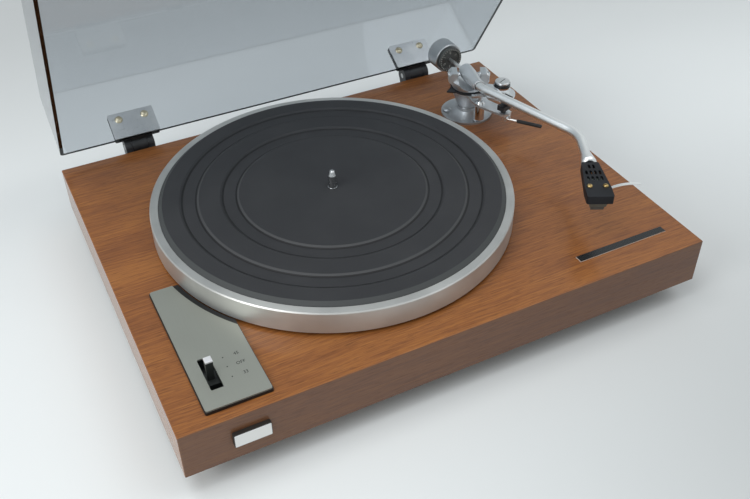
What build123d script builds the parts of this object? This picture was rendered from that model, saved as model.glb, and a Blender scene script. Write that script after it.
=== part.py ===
from build123d import *
import math
import os

# Belt-drive turntable: wooden plinth, platter, S-shaped tonearm and a hinged dust cover, shown open.
# The origin is on the spindle's axis, at the mat's record-bearing surface.
# +X points right along the front, +Y to the back, +Z up.  All sizes are in millimetres.

# Clearances shared by all mating pieces
running = 0.05
free = 0.3
snug = 0.1

# Plinth
plinth_width = 440.0
plinth_depth = 341.5
plinth_height = 40.5
plinth_x = 27.6
plinth_y = -4.1
deck_below_mat = 24.7
deck_thickness = 14.0
plinth_wall = 18.0
corner_block = 62.0
edge_round = 0.8
cover_thickness = 4.0

# Feet and fasteners
foot_height = 22.0
foot_radius = 23.0
foot_inset = 42.0
foot_recess_radius = 9.0
foot_recess_depth = 12.0
screw_radius = 2.0
screw_head_radius = 4.0
screw_head_height = 2.2
flat_head_height = 1.6
screw_length = 12.0

# Platter, mat, spindle and main bearing
platter_radius = 150.0
platter_gap = 2.0
rim_below_mat = 2.8
rim_width = 9.0
rim_edge = 0.9
mat_radius = 142.9
mat_thickness = 5.8
mat_bevel = 3.4
mat_edge_drop = 2.6
mat_groove_depth = 1.6
mat_groove_wall = 2.6
mat_grooves = ((77.2, 93.0), (110.0, 126.0))
web_thickness = 4.0
hub_radius = 22.0
hub_depth = 4.6
drive_radius = 90.0
drive_wall = 5.0
drive_gap = 1.3
pin_radius = 3.58
pin_length = 11.6
pin_height = 16.1
pin_base_radius = 3.9
pin_shoulder = 0.2
neck_radius = 4.6
seat_radius = 14.0
seat_thickness = 4.0
shaft_radius = 5.0
shaft_length = 35.0
bearing_radius = 9.0
bearing_flange_radius = 30.0
bearing_flange = 3.6
bearing_screw_circle = 22.0
bearing_screw_sink = 1.4
bearing_floor = 3.0

# Motor, pulley, belt and belt shifter
motor_distance = 112.0
motor_angle = 200.0
motor_radius = 25.0
motor_height = 26.0
motor_shaft_radius = 2.2
motor_shaft_depth = 7.0
motor_plate_radius = 35.0
motor_plate_thickness = 2.0
motor_screw_circle = 18.0
motor_rebate = 2.4
grommet_radius = 5.0
grommet_height = 3.0
pulley_radius = 6.0
pulley_fast_radius = 8.2
pulley_flange = 1.5
pulley_gap = 0.6
pulley_height = 11.5
belt_thickness = 0.7
belt_width = 4.0
belt_height = -17.0
shifter_travel = 1.0
shifter_reach = 47.0
shifter_finger = 1.2
shifter_rod_radius = 2.5

# Control panel and speed lever
panel_left = -169.6
panel_right = -120.8
panel_front = -165.4
panel_back = -33.3
panel_clearance = 5.0
panel_base_clearance = 0.5
panel_base_thickness = 2.2
panel_plate_thickness = 1.2
panel_inset = 0.6
panel_corner = 1.6
slot_x = -155.0
slot_y = -133.0
slot_width = 9.1
slot_length = 31.3
lever_width = 5.4
lever_depth = 5.6
lever_height = 13.5
lever_round = 0.4
lever_travel = 10.0
stem_width = 5.0
stem_depth = 2.6
slider_width = 12.0
slider_depth = 13.0
switch_width = 24.0
switch_length = 48.0
switch_height = 10.5
switch_floor = 2.5

# Plates on the plinth
label_left = 144.0
label_front = -151.1
label_length = 84.6
label_width = 6.5
label_thickness = 0.7
badge_left = -156.5
badge_width = 27.4
badge_height = 12.4
badge_below_deck = 20.0
badge_thickness = 3.5
badge_corner = 1.2

# Lead glands in the back wall
gland_radius = 7.0
gland_flange_radius = 9.5
gland_flange = 2.5
gland_bore = 3.2
gland_below_deck = 24.0
gland_offsets = (-60.0, 95.0)

# Dust cover and its hinges
lid_width = 434.0
lid_depth = 340.0
lid_height = 64.0
lid_wall = 3.0
lid_round = 3.0
lid_gap = 2.0
lid_back_y = 165.9
lid_open = 59.0
hinge_spread = 146.0
hinge_y = 176.9
hinge_drop = 0.0
hinge_width = 27.0
knuckle_radius = 7.6
knuckle_width = 15.0
hinge_pin_radius = 2.5
socket_height = 30.0
socket_thickness = 5.0
socket_drop = 1.5
clamp_width = 42.0
clamp_height = 26.0
clamp_thickness = 1.2
clamp_corner = 1.5
pad_thickness = 3.0
lid_screw_spread = 24.0
lid_screw_radius = 2.2
lid_screw_head_radius = 3.6
lid_screw_head = 1.4
lid_screw_height = 19.0
lid_screw_length = 7.0

# Tonearm base, bracket and arm rest
pivot_x = 181.9
pivot_y = 84.5
arm_axis_above_deck = 41.2
flange_radius = 24.6
flange_edge = 2.0
post_radius = 9.2
post_height = 8.2
groove_radius = 8.0
groove_height = 1.8
cone_top_radius = 15.5
cone_height = 15.6
bracket_thickness = 2.0
bracket_hub_radius = 15.5
bracket_neck_radius = 8.0
bracket_tip_radius = 6.0
bracket_tip_from_pivot = (5.7, -54.0)
bracket_knee_radius = 7.5
bracket_knee_from_pivot = (-3.4, -30.0)
bracket_lobe_radius = 13.0
bracket_lobe_from_pivot = (22.3, -24.2)
disc_radius = 16.8
disc_thickness = 1.4
disc_pointer = 23.5
pivot_stem_radius = 4.0
pivot_stem_length = 14.0
rest_along = 21.0
rest_length = 7.5
rest_drop = 2.0
rest_floor = 4.6
rest_wall = 2.4
rest_side_gap = 0.8
rest_side_height = 7.2
rest_post_radius = 2.4

# Tonearm
front_heading = -8.0
straight_heading = 17.0
shell_heading = -26.3
rear_heading = 181.5
bearing_skew = 27.0
yoke_half_width = 19.2
yoke_gap = 11.0
yoke_channel = 9.4
yoke_depth = 14.0
yoke_top = 3.8
yoke_shoulder = 3.2
yoke_foot_radius = 14.8
yoke_bowl_radius = 16.2
yoke_bowl_height = 7.0
collar_radius = 7.0
collar_front_radius = 5.0
collar_step = 3.0
collar_back = 9.5
collar_length = 19.5
collar_lip = 4.5
collar_lip_gap = 0.4
tube_radius = 4.0
tube_wall = 0.9
first_bend = 35.0
tube_straight = 92.2
second_bend = 30.0
tube_end = 20.2
locknut_radius = 6.4
locknut_rear_radius = 4.6
locknut_length = 14.0
locknut_bore = 3.6
plug_radius = 3.3
pivot_screw_radius = 2.4
rear_shaft_radius = 1.7
rear_shaft_start = 5.0
rear_shaft_end = 51.0

# Headshell, cartridge and finger lift
shell_length = 48.0
shell_taper = 36.0
shell_rear_width = 14.0
shell_front_width = 21.1
shell_height = 7.2
shell_skin = 1.4
shell_rear_wall = 3.5
shell_above_axis = 3.0
shell_screw_spread = 12.7
shell_screw_from_front = 14.4
shell_screw_radius = 1.25
shell_screw_head = 2.3
shell_screw_head_height = 1.6
shell_screw_grip = 4.0
oval_width = 2.0
oval_length = 5.6
oval_pitch = 3.6
oval_rows = ((6.4, 2), (14.8, 4), (23.0, 4))
cartridge_width = 12.6
cartridge_length = 29.0
cartridge_height = 11.0
cartridge_slope = 3.0
stylus_width = 10.4
stylus_height = 3.5
stylus_length = 13.0
stylus_middle = 7.0
stylus_above_record = 0.3
record_thickness = 1.8
finger_length = 23.4
finger_width = 2.2
finger_tab = 2.7
finger_thickness = 0.9
finger_rise = 3.6

# Counterweight and tracking dial
dial_start = 32.0
dial_radius = 12.3
dial_thickness = 3.5
weight_radius = 14.2
weight_length = 16.5
weight_edge = 0.8
bush_radius = 7.0
dial_hollow = 1.4

# Arm lift and cue lever
lift_radius = 32.0
lift_heading = -11.0
lift_bar_width = 4.0
lift_bar_thickness = 2.0
lift_bar_from = 6.0
lift_bar_to = -26.0
lift_rod_radius = 1.8
lift_travel = 4.0
lift_gap = 0.4
lift_sleeve_radius = 4.6
lift_sleeve_height = 2.8
lift_barrel_length = 14.0
lift_barrel_floor = 2.0
lift_neck_radius = 3.4
cue_heading = 34.2
cue_across_from_pivot = 8.3
cue_along_from_pivot = -54.3
cue_below_bracket = 6.0
cue_hub_radius = 1.9
cue_hub_width = 3.4
cue_pin_radius = 1.0
cue_lug = 3.0
cue_wire_radius = 0.9
cue_wire_length = 11.0
cue_wire_grip = 4.0
cue_grip_radius = 1.7
cue_grip_length = 24.0
cue_rise = 1.5

# Anti-skate control
skate_base_radius = 8.2
skate_neck_radius = 7.4
skate_base_height = 8.2
skate_ring_radius = 7.4
skate_ring_height = 2.4
skate_knob_radius = 6.9
skate_knob_height = 2.0

# Levels and places that follow from the sizes above
deck = -deck_below_mat
plinth_bottom = deck - plinth_height
plinth_left = plinth_x - plinth_width / 2
plinth_right = plinth_x + plinth_width / 2
plinth_front = plinth_y - plinth_depth / 2
plinth_back = plinth_y + plinth_depth / 2
deck_under = deck - deck_thickness
cover_top = plinth_bottom + cover_thickness
floor = plinth_bottom - foot_height
bracket_tip = (pivot_x + bracket_tip_from_pivot[0], pivot_y + bracket_tip_from_pivot[1])
bracket_knee = (pivot_x + bracket_knee_from_pivot[0], pivot_y + bracket_knee_from_pivot[1])
bracket_lobe = (pivot_x + bracket_lobe_from_pivot[0], pivot_y + bracket_lobe_from_pivot[1])
cue_x = pivot_x + cue_across_from_pivot
cue_y = pivot_y + cue_along_from_pivot
mat_under = -mat_thickness
web_under = mat_under - web_thickness
rim_bottom = deck + platter_gap
seat_top = web_under - hub_depth
seat_bottom = seat_top - seat_thickness
shaft_end = seat_bottom - shaft_length
bearing_bottom = shaft_end - running - bearing_floor
motor_x = motor_distance * math.cos(math.radians(motor_angle))
motor_y = motor_distance * math.sin(math.radians(motor_angle))
motor_plate_bottom = deck - motor_rebate
motor_top = motor_plate_bottom - grommet_height
panel_arc = platter_radius + panel_clearance
panel_base_arc = platter_radius + panel_base_clearance
panel_base_top = deck + panel_base_thickness
panel_top = panel_base_top + panel_plate_thickness
hinge_z = deck - hinge_drop
lid_rim = deck + lid_gap
arm_z = deck + arm_axis_above_deck
post_top = deck + post_height
cone_bottom = post_top + groove_height
cone_top = cone_bottom + cone_height
bracket_top = cone_top + bracket_thickness
disc_top = bracket_top + disc_thickness
yoke_bottom = disc_top + free
stylus_tip = record_thickness + stylus_above_record
dial_end = dial_start + dial_thickness
weight_start = dial_end + free


def block(x_range, y_range, z_range):
    """Box between three pairs of limits."""
    spans = (x_range, y_range, z_range)
    centre = [(a + b) / 2 for a, b in spans]
    return Pos(*centre) * Box(*[b - a for a, b in spans])


def rod(radius, bottom, top, x=0.0, y=0.0):
    """Upright cylinder between two heights."""
    return Pos(x, y, (bottom + top) / 2) * Cylinder(radius, top - bottom)


def turned(*points):
    """Solid of revolution about Z from its half outline, given as (radius, height)."""
    return revolve(Plane.XZ * make_face(Polyline(*points, close=True)), Axis.Z)


def heading(angle):
    """Horizontal direction, measured from the front (-Y) towards the right (+X)."""
    turn = math.radians(angle)
    return Vector(math.sin(turn), -math.cos(turn), 0)


def along(angle, x, y, z):
    """Frame at a point, whose Z axis lies along a heading and whose Y axis points up."""
    return Location(Plane(origin=(x, y, z), x_dir=heading(angle + 90), z_dir=heading(angle)))


def facing(angle, x, y, z):
    """Upright frame at a point, whose Y axis lies along a heading."""
    return Location(Plane(origin=(x, y, z), x_dir=heading(angle + 90) * -1, z_dir=(0, 0, 1)))


def screw(length, radius=screw_radius, head=screw_head_radius, height=screw_head_height):
    """Screw with a domed head that sits on the plane z = 0 and a shank that points down."""
    dome = turned((0, 0), (head, 0), (head, height * 0.4), (head * 0.6, height), (0, height))
    return dome + rod(radius, -length, 0)


def ring_of_places(count, radius, x, y, z, first=90.0):
    """Places spread evenly on an upright circle."""
    turns = [math.radians(first + 360 * i / count) for i in range(count)]
    return [Pos(x + radius * math.cos(t), y + radius * math.sin(t), z) for t in turns]


def foot_places():
    """Centres of the four feet, with the name of each corner."""
    sides = (("left", plinth_left + foot_inset), ("right", plinth_right - foot_inset))
    ends = (("front", plinth_front + foot_inset), ("rear", plinth_back - foot_inset))
    return [(f"{end}_{side}", x, y) for end, y in ends for side, x in sides]


def cover_screw_places():
    """Screws of the bottom cover, in the middle of each side of the plinth."""
    half_wall = plinth_wall / 2
    return (
        (plinth_x, plinth_front + half_wall),
        (plinth_x, plinth_back - half_wall),
        (plinth_left + half_wall, plinth_y),
        (plinth_right - half_wall, plinth_y),
    )


def bearing_screws_at(z):
    return ring_of_places(3, bearing_screw_circle, 0, 0, z)


def motor_screws_at(z):
    return ring_of_places(3, motor_screw_circle, motor_x, motor_y, z, motor_angle)


def arm_screws_at(z):
    return ring_of_places(3, (post_radius + flange_radius) / 2 + 2, pivot_x, pivot_y, z, 30.0)


def gland_places():
    return [(plinth_x + dx, deck - gland_below_deck) for dx in gland_offsets]


def hinge_centres():
    return (("left", plinth_x - hinge_spread), ("right", plinth_x + hinge_spread))


def shifter_place():
    """Belt shifter's place beside the belt's straight run, and the direction across the belt."""
    lean = math.degrees(math.acos((drive_radius - pulley_radius) / motor_distance))
    across = heading(motor_angle + 90 - lean)
    on_pulley = Vector(motor_x, motor_y, 0) + across * pulley_radius
    on_drive = across * drive_radius
    run = (on_drive - on_pulley).normalized()
    return on_pulley + run * shifter_reach, across, run


# Plinth and what closes it below


def make_plinth():
    body = block((plinth_left, plinth_right), (plinth_front, plinth_back), (plinth_bottom, deck))
    top_edges = body.faces().sort_by(Axis.Z)[-1].edges()
    body = fillet(body.edges().filter_by(Axis.Z) + top_edges, edge_round)
    inside_x = (plinth_left + plinth_wall, plinth_right - plinth_wall)
    inside_y = (plinth_front + plinth_wall, plinth_back - plinth_wall)
    hollow = block(inside_x, inside_y, (cover_top, deck_under))
    for x in (plinth_left, plinth_right):
        for y in (plinth_front, plinth_back):
            hollow -= Pos(x, y, 0) * Box(2 * corner_block, 2 * corner_block, 4 * plinth_height)
    rebate = plinth_wall / 3
    body -= hollow
    body -= block(
        (plinth_left + rebate, plinth_right - rebate),
        (plinth_front + rebate, plinth_back - rebate),
        (plinth_bottom, cover_top),
    )
    body -= rod(bearing_radius + free, deck_under, deck)
    body -= rod(motor_plate_radius + free, motor_plate_bottom, deck, motor_x, motor_y)
    body -= rod(motor_radius + 2, deck_under, deck, motor_x, motor_y)
    body -= rod(pivot_stem_radius + 4, deck_under, deck, pivot_x, pivot_y)
    half_x = switch_width / 2 + free
    half_y = switch_length / 2 + free
    body -= block((slot_x - half_x, slot_x + half_x), (slot_y - half_y, slot_y + half_y),
                  (deck - switch_height, deck))
    place, across, run = shifter_place()
    stand = place + across * (shifter_rod_radius + 2 * shifter_finger)
    body -= rod(shifter_rod_radius + free, deck_under, deck, stand.X, stand.Y)
    for x, z in gland_places():
        hole = Cylinder(gland_radius + snug, 2 * plinth_wall)
        body -= Pos(x, plinth_back, z) * Rot(90, 0, 0) * hole
    for name, x in hinge_centres():
        for z in hinge_screw_heights():
            hole = Cylinder(screw_radius + snug, 2 * screw_length)
            body -= Pos(x, plinth_back, z) * Rot(90, 0, 0) * hole
    for place in bearing_screws_at(deck) + arm_screws_at(deck):
        body -= place * rod(screw_radius + snug, -screw_length, 0)
    for x, y in cover_screw_places():
        body -= rod(screw_radius + snug, cover_top, cover_top + screw_length, x, y)
    for name, x, y in foot_places():
        body -= rod(screw_radius + snug, cover_top, cover_top + screw_length, x, y)
    return body


def make_bottom_cover():
    inset = plinth_wall / 3 + free
    cover = block(
        (plinth_left + inset, plinth_right - inset),
        (plinth_front + inset, plinth_back - inset),
        (plinth_bottom, cover_top),
    )
    for x, y in cover_screw_places():
        cover -= rod(screw_radius + snug, plinth_bottom, cover_top, x, y)
    for name, x, y in foot_places():
        cover -= rod(screw_radius + snug, plinth_bottom, cover_top, x, y)
    return cover


def make_foot(x, y):
    """Rubber foot: a waisted cup with a recess for its screw and a raised tread."""
    tread = foot_radius * 0.86
    waist = foot_radius * 0.8
    lip = foot_height * 0.2
    cup = turned(
        (foot_recess_radius, 0), (tread - 1.5, 0), (tread, 1.5), (tread, lip), (waist, lip + 2),
        (foot_radius, foot_height - lip), (foot_radius, foot_height), (screw_radius + snug, foot_height),
        (screw_radius + snug, foot_recess_depth), (foot_recess_radius, foot_recess_depth),
    )
    return Pos(x, y, floor) * cup


def make_bottom_screws():
    """Screws of the feet, sunk in their recesses, and of the bottom cover."""
    down = Rot(180, 0, 0)
    foot_screw = screw(foot_height - foot_recess_depth + screw_length)
    cover_screw = screw(screw_length)
    under_feet = [Pos(x, y, floor + foot_recess_depth) for name, x, y in foot_places()]
    under_cover = [Pos(x, y, plinth_bottom) for x, y in cover_screw_places()]
    return [p * down * foot_screw for p in under_feet] + [p * down * cover_screw for p in under_cover]


def make_glands():
    """Lead glands: flanged rubber sleeves in the back wall."""
    sleeve = turned(
        (gland_bore, -plinth_wall), (gland_radius, -plinth_wall), (gland_radius, 0),
        (gland_flange_radius, 0), (gland_flange_radius - 1, gland_flange), (gland_bore, gland_flange),
    )
    return [Pos(x, plinth_back, z) * Rot(-90, 0, 0) * sleeve for x, z in gland_places()]


# Main bearing and platter


def make_bearing():
    top = seat_bottom - free
    bore_end = shaft_end - running
    housing = turned(
        (shaft_radius + running, top), (bearing_radius, top), (bearing_radius, deck + bearing_flange),
        (bearing_flange_radius, deck + bearing_flange - 1), (bearing_flange_radius, deck),
        (bearing_radius, deck), (bearing_radius, bearing_bottom + 1), (bearing_radius - 1, bearing_bottom),
        (0, bearing_bottom), (0, bore_end), (shaft_radius + running, bore_end),
    )
    seat = rod(screw_head_radius + 1, deck + bearing_flange - bearing_screw_sink, deck + bearing_flange + 1)
    for place in bearing_screws_at(0):
        housing -= place * (seat + rod(screw_radius + snug, deck, deck + bearing_flange))
    return housing


def make_spindle():
    tip_radius = pin_radius * 0.45
    return turned(
        (0, shaft_end), (shaft_radius * 0.5, shaft_end), (shaft_radius, shaft_end + 2.0),
        (shaft_radius, seat_bottom), (seat_radius, seat_bottom), (seat_radius, seat_top),
        (neck_radius, seat_top), (neck_radius, mat_under), (pin_base_radius, mat_under),
        (pin_base_radius, pin_shoulder), (pin_radius, pin_shoulder),
        (pin_radius, pin_length), (tip_radius + 0.5, pin_height - 0.7), (tip_radius - 0.4, pin_height),
        (0, pin_height),
    )


def make_platter():
    """Cast platter: a rim with turned edges, a seat for the mat, a web, a drive ring and a hub."""
    bore = neck_radius + running
    rim_top = -rim_below_mat
    seat = mat_radius + free
    inner = platter_radius - rim_width
    drive_inner = drive_radius - drive_wall
    drive_bottom = rim_bottom + drive_gap
    return turned(
        (bore, seat_top), (hub_radius, seat_top), (hub_radius + 2, web_under),
        (drive_inner, web_under), (drive_inner, drive_bottom), (drive_radius, drive_bottom),
        (drive_radius, web_under), (inner, web_under), (inner + 1, rim_bottom),
        (platter_radius - rim_edge, rim_bottom), (platter_radius, rim_bottom + rim_edge),
        (platter_radius, rim_top - rim_edge), (platter_radius - rim_edge, rim_top),
        (seat, rim_top), (seat, mat_under), (bore, mat_under),
    )


def make_mat():
    """Rubber mat with shallow channels and a bevelled edge."""
    bore = pin_base_radius + free
    outline = [(bore, mat_under), (mat_radius, mat_under), (mat_radius, -mat_edge_drop)]
    outline.append((mat_radius - mat_bevel, 0))
    for inner, outer in reversed(mat_grooves):
        outline += [(outer, 0), (outer - mat_groove_wall, -mat_groove_depth)]
        outline += [(inner + mat_groove_wall, -mat_groove_depth), (inner, 0)]
    outline.append((bore, 0))
    return turned(*outline)


# Drive


def make_motor():
    lower = motor_top - motor_height
    bore = motor_shaft_radius + free
    bore_end = motor_top - motor_shaft_depth - free
    can = turned(
        (0, lower), (motor_radius - 3, lower), (motor_radius, lower + 3), (motor_radius, motor_top - 2),
        (motor_radius - 2, motor_top), (pulley_radius, motor_top), (pulley_radius, motor_top + 2),
        (bore, motor_top + 2), (bore, bore_end), (0, bore_end),
    )
    can = Pos(motor_x, motor_y, 0) * can
    for place in motor_screws_at(motor_top):
        can -= place * rod(screw_radius + snug, -screw_length, 0)
    return can


def make_motor_plate():
    plate = rod(motor_plate_radius, motor_plate_bottom, motor_plate_bottom + motor_plate_thickness,
                motor_x, motor_y)
    plate -= rod(pulley_fast_radius + 3, motor_plate_bottom, deck, motor_x, motor_y)
    for place in motor_screws_at(0):
        plate -= place * rod(screw_radius + snug, motor_plate_bottom, deck)
    return plate


def make_motor_grommets():
    washer = rod(grommet_radius, 0, grommet_height) - rod(screw_radius + snug, 0, grommet_height)
    return [place * washer for place in motor_screws_at(motor_top)]


def make_deck_screws():
    """Screws of the bearing, the motor and the arm base."""
    on_bearing = bearing_screws_at(deck + bearing_flange - bearing_screw_sink)
    on_motor = motor_screws_at(motor_plate_bottom + motor_plate_thickness)
    on_arm = arm_screws_at(deck + flange_edge)
    return [place * screw(screw_length, height=flat_head_height) for place in on_bearing + on_motor + on_arm]


def make_pulley():
    """Stepped pulley on the motor's shaft: the small step for 33, the large one for 45."""
    top = rim_bottom + pulley_height
    lower = rim_bottom + pulley_gap
    shaft_low = motor_top - motor_shaft_depth
    step = belt_height - belt_width / 2 - 1.0
    return Pos(motor_x, motor_y, 0) * turned(
        (0, shaft_low), (motor_shaft_radius, shaft_low), (motor_shaft_radius, lower), (pulley_fast_radius, lower),
        (pulley_fast_radius, step - 1.0), (pulley_radius, step), (pulley_radius, top - pulley_flange),
        (pulley_radius + 1.5, top - pulley_flange + 0.7), (pulley_radius + 1.5, top), (0, top),
    )


def belt_outline(offset):
    """Loop round the drive ring and the pulley, at a distance from both."""
    large = Circle(drive_radius + offset)
    small = Pos(motor_x, motor_y) * Circle(pulley_radius + offset)
    return make_hull(large.edges() + small.edges())


def make_belt():
    loop = belt_outline(running + belt_thickness) - belt_outline(running)
    return Pos(0, 0, belt_height - belt_width / 2) * extrude(loop, belt_width)


def make_belt_shifter():
    """Rod with two fingers that reach over and under the belt."""
    place, across, run = shifter_place()
    stand = place + across * (shifter_rod_radius + 2 * shifter_finger)
    half = belt_width / 2 + shifter_travel + 0.4
    upper = belt_height + half
    lower = belt_height - half
    top = upper + shifter_finger
    fork = rod(shifter_rod_radius, deck_under - 2, top, stand.X, stand.Y)
    turn = math.degrees(math.atan2(-across.Y, -across.X))
    reach = shifter_rod_radius + 2 * shifter_finger + 2
    for bottom in (upper, lower - shifter_finger):
        finger = block((0, reach), (-1.2, 1.2), (bottom, bottom + shifter_finger))
        fork += Pos(stand.X, stand.Y, 0) * Rot(0, 0, turn) * finger
    return fork


# Control panel


def panel_outline(arc, inset):
    """Panel's outline: a rectangle with a bite that follows the platter's rim."""
    width = panel_right - panel_left - 2 * inset
    length = panel_back - panel_front - 2 * inset
    middle = Pos((panel_left + panel_right) / 2, (panel_front + panel_back) / 2)
    return middle * RectangleRounded(width, length, panel_corner) - Circle(arc)


def panel_slot():
    return Pos(slot_x, slot_y) * RectangleRounded(slot_width, slot_length, 1.0)


def make_panel_base():
    outline = panel_outline(panel_base_arc, 0) - panel_slot()
    return Pos(0, 0, deck) * extrude(outline, panel_base_thickness)


def make_panel_plate():
    outline = panel_outline(panel_arc, panel_inset) - panel_slot()
    return Pos(0, 0, panel_base_top) * extrude(outline, panel_plate_thickness)


def make_switch_frame():
    low = deck - switch_height
    tray = Pos(slot_x, slot_y, 0) * block((-switch_width / 2, switch_width / 2),
                                          (-switch_length / 2, switch_length / 2), (low, deck))
    half_x = slider_width / 2 + free
    half_y = slider_depth / 2 + lever_travel + free
    return tray - Pos(slot_x, slot_y, 0) * block((-half_x, half_x), (-half_y, half_y),
                                                 (low + switch_floor, deck))


def make_speed_lever():
    """Lever: a handle that widens upwards, a stem through the slot and the switch's slider below."""
    low = panel_top + free
    base = Plane.XY * Rectangle(stem_width, stem_depth)
    crown = Plane.XY.offset(lever_height) * Rectangle(lever_width, lever_depth)
    handle = loft([base, crown])
    handle = fillet(handle.edges().filter_by(Axis.Z, reverse=True).sort_by(Axis.Z)[-4:], lever_round)
    bottom = deck - switch_height + switch_floor + free
    stem = block((-stem_width / 2, stem_width / 2), (-stem_depth / 2, stem_depth / 2), (bottom, low))
    slider = block((-slider_width / 2, slider_width / 2), (-slider_depth / 2, slider_depth / 2),
                   (bottom, deck - 2.0))
    return Pos(slot_x, slot_y, 0) * (Pos(0, 0, low) * handle + stem + slider)


def make_label_strip():
    return block((label_left, label_left + label_length), (label_front, label_front + label_width),
                 (deck, deck + label_thickness))


def make_front_badge():
    middle = deck - badge_below_deck
    face = Plane.XZ * RectangleRounded(badge_width, badge_height, badge_corner)
    plate = extrude(face, badge_thickness)
    plate = chamfer(plate.faces().sort_by(Axis.Y)[0].edges(), 0.5)
    return Pos(badge_left + badge_width / 2, plinth_front, middle) * plate


# Dust cover and hinges


def opened(shape):
    """Turn a piece drawn with the cover closed to the open position."""
    about = Pos(0, hinge_y, hinge_z)
    return about * Rot(-lid_open, 0, 0) * about.inverse() * shape


def lid_screw_places():
    spots = []
    for name, x in hinge_centres():
        spots += [x - lid_screw_spread / 2, x + lid_screw_spread / 2]
    return spots


def make_lid():
    half = lid_width / 2
    limits_x = (plinth_x - half, plinth_x + half)
    limits_y = (lid_back_y - lid_depth, lid_back_y)
    limits_z = (lid_rim, lid_rim + lid_height)
    box = block(limits_x, limits_y, limits_z)
    top_edges = box.faces().sort_by(Axis.Z)[-1].edges()
    box = fillet(box.edges().filter_by(Axis.Z) + top_edges, lid_round)
    hollow = block(*[(a + lid_wall, b - lid_wall) for a, b in (limits_x, limits_y)],
                   (lid_rim, lid_rim + lid_height - lid_wall))
    hollow = fillet(hollow.edges().filter_by(Axis.Z), lid_round / 3)
    box -= hollow
    for x in lid_screw_places():
        hole = Cylinder(lid_screw_radius + snug, 4 * lid_wall)
        box -= Pos(x, lid_back_y, lid_rim + lid_screw_height) * Rot(90, 0, 0) * hole
    return opened(box)


def make_lid_clamps():
    """Metal plates on the inside of the cover's back wall."""
    plates = []
    inner = lid_back_y - lid_wall
    for name, x in hinge_centres():
        plate = block((x - clamp_width / 2, x + clamp_width / 2), (inner - clamp_thickness, inner),
                      (lid_rim, lid_rim + clamp_height))
        plate = fillet(plate.edges().filter_by(Axis.Y), clamp_corner)
        for dx in (-lid_screw_spread / 2, lid_screw_spread / 2):
            hole = Cylinder(lid_screw_radius + snug, 4 * clamp_thickness)
            plate -= Pos(x + dx, inner, lid_rim + lid_screw_height) * Rot(90, 0, 0) * hole
        plates.append(opened(plate))
    return plates


def make_lid_screws():
    screws = []
    face = lid_back_y - lid_wall - clamp_thickness
    for x in lid_screw_places():
        fastener = screw(lid_screw_length, lid_screw_radius, lid_screw_head_radius, lid_screw_head)
        screws.append(opened(Pos(x, face, lid_rim + lid_screw_height) * Rot(90, 0, 0) * fastener))
    return screws


def make_hinge_arm(x):
    """Moving half of a hinge: the knuckle on the pin, a curved web and the pad behind the cover."""
    rise = lid_rim - hinge_z
    pad_y = lid_back_y - hinge_y
    web = Polyline(
        (pad_y, rise), (pad_y, rise + clamp_height), (pad_y + pad_thickness, rise + clamp_height),
        (pad_y + pad_thickness, rise + clamp_height * 0.6), (knuckle_radius * 0.9, knuckle_radius * 0.4),
        (0, 0), (-knuckle_radius * 0.6, 0), close=True,
    )
    profile = make_face(web) + Circle(knuckle_radius)
    profile -= Circle(hinge_pin_radius + running)
    section = Plane(origin=(x - knuckle_width / 2, hinge_y, hinge_z), x_dir=(0, 1, 0), z_dir=(1, 0, 0))
    arm = extrude(section * profile, knuckle_width)
    pad = block((x - clamp_width / 2, x + clamp_width / 2), (lid_back_y, lid_back_y + pad_thickness),
                (lid_rim, lid_rim + clamp_height))
    arm += fillet(pad.edges().filter_by(Axis.Y), clamp_corner)
    for dx in (-lid_screw_spread / 2, lid_screw_spread / 2):
        hole = Cylinder(lid_screw_radius + snug, 4 * pad_thickness)
        arm -= Pos(x + dx, lid_back_y, lid_rim + lid_screw_height) * Rot(90, 0, 0) * hole
    return opened(arm)


def make_hinge_socket(x):
    """Fixed half of a hinge: a plate on the plinth's back with a knuckle at each end of the pin."""
    top = hinge_z - knuckle_radius - socket_drop
    low = top - socket_height
    back = plinth_back + socket_thickness
    socket = block((x - hinge_width / 2, x + hinge_width / 2), (plinth_back, back), (low, top))
    socket = fillet(socket.edges().filter_by(Axis.Y), 2.0)
    cheek = Polyline(
        (plinth_back - hinge_y, low - hinge_z + 6), (back - hinge_y, low - hinge_z + 6),
        (knuckle_radius, 0), (-knuckle_radius, 0), (plinth_back - hinge_y, top - hinge_z), close=True,
    )
    profile = make_face(cheek) + Circle(knuckle_radius) - Circle(hinge_pin_radius + running)
    cheek_width = (hinge_width - knuckle_width) / 2 - free
    for start in (x - hinge_width / 2, x + hinge_width / 2 - cheek_width):
        section = Plane(origin=(start, hinge_y, hinge_z), x_dir=(0, 1, 0), z_dir=(1, 0, 0))
        socket += extrude(section * profile, cheek_width)
    for z in hinge_screw_heights():
        hole = Cylinder(screw_radius + snug, 4 * socket_thickness)
        socket -= Pos(x, plinth_back, z) * Rot(90, 0, 0) * hole
    return socket


def hinge_screw_heights():
    low = hinge_z - knuckle_radius - socket_drop - socket_height
    return (low + socket_height * 0.25, low + socket_height * 0.7)


def make_hinge_pins():
    pin = Rot(0, 90, 0) * Cylinder(hinge_pin_radius, hinge_width)
    return [Pos(x, hinge_y, hinge_z) * pin for name, x in hinge_centres()]


def make_hinge_screws():
    screws = []
    for name, x in hinge_centres():
        for z in hinge_screw_heights():
            fastener = Rot(-90, 0, 0) * screw(socket_thickness + screw_length)
            screws.append(Pos(x, plinth_back + socket_thickness, z) * fastener)
    return screws


# Tonearm base


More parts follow.
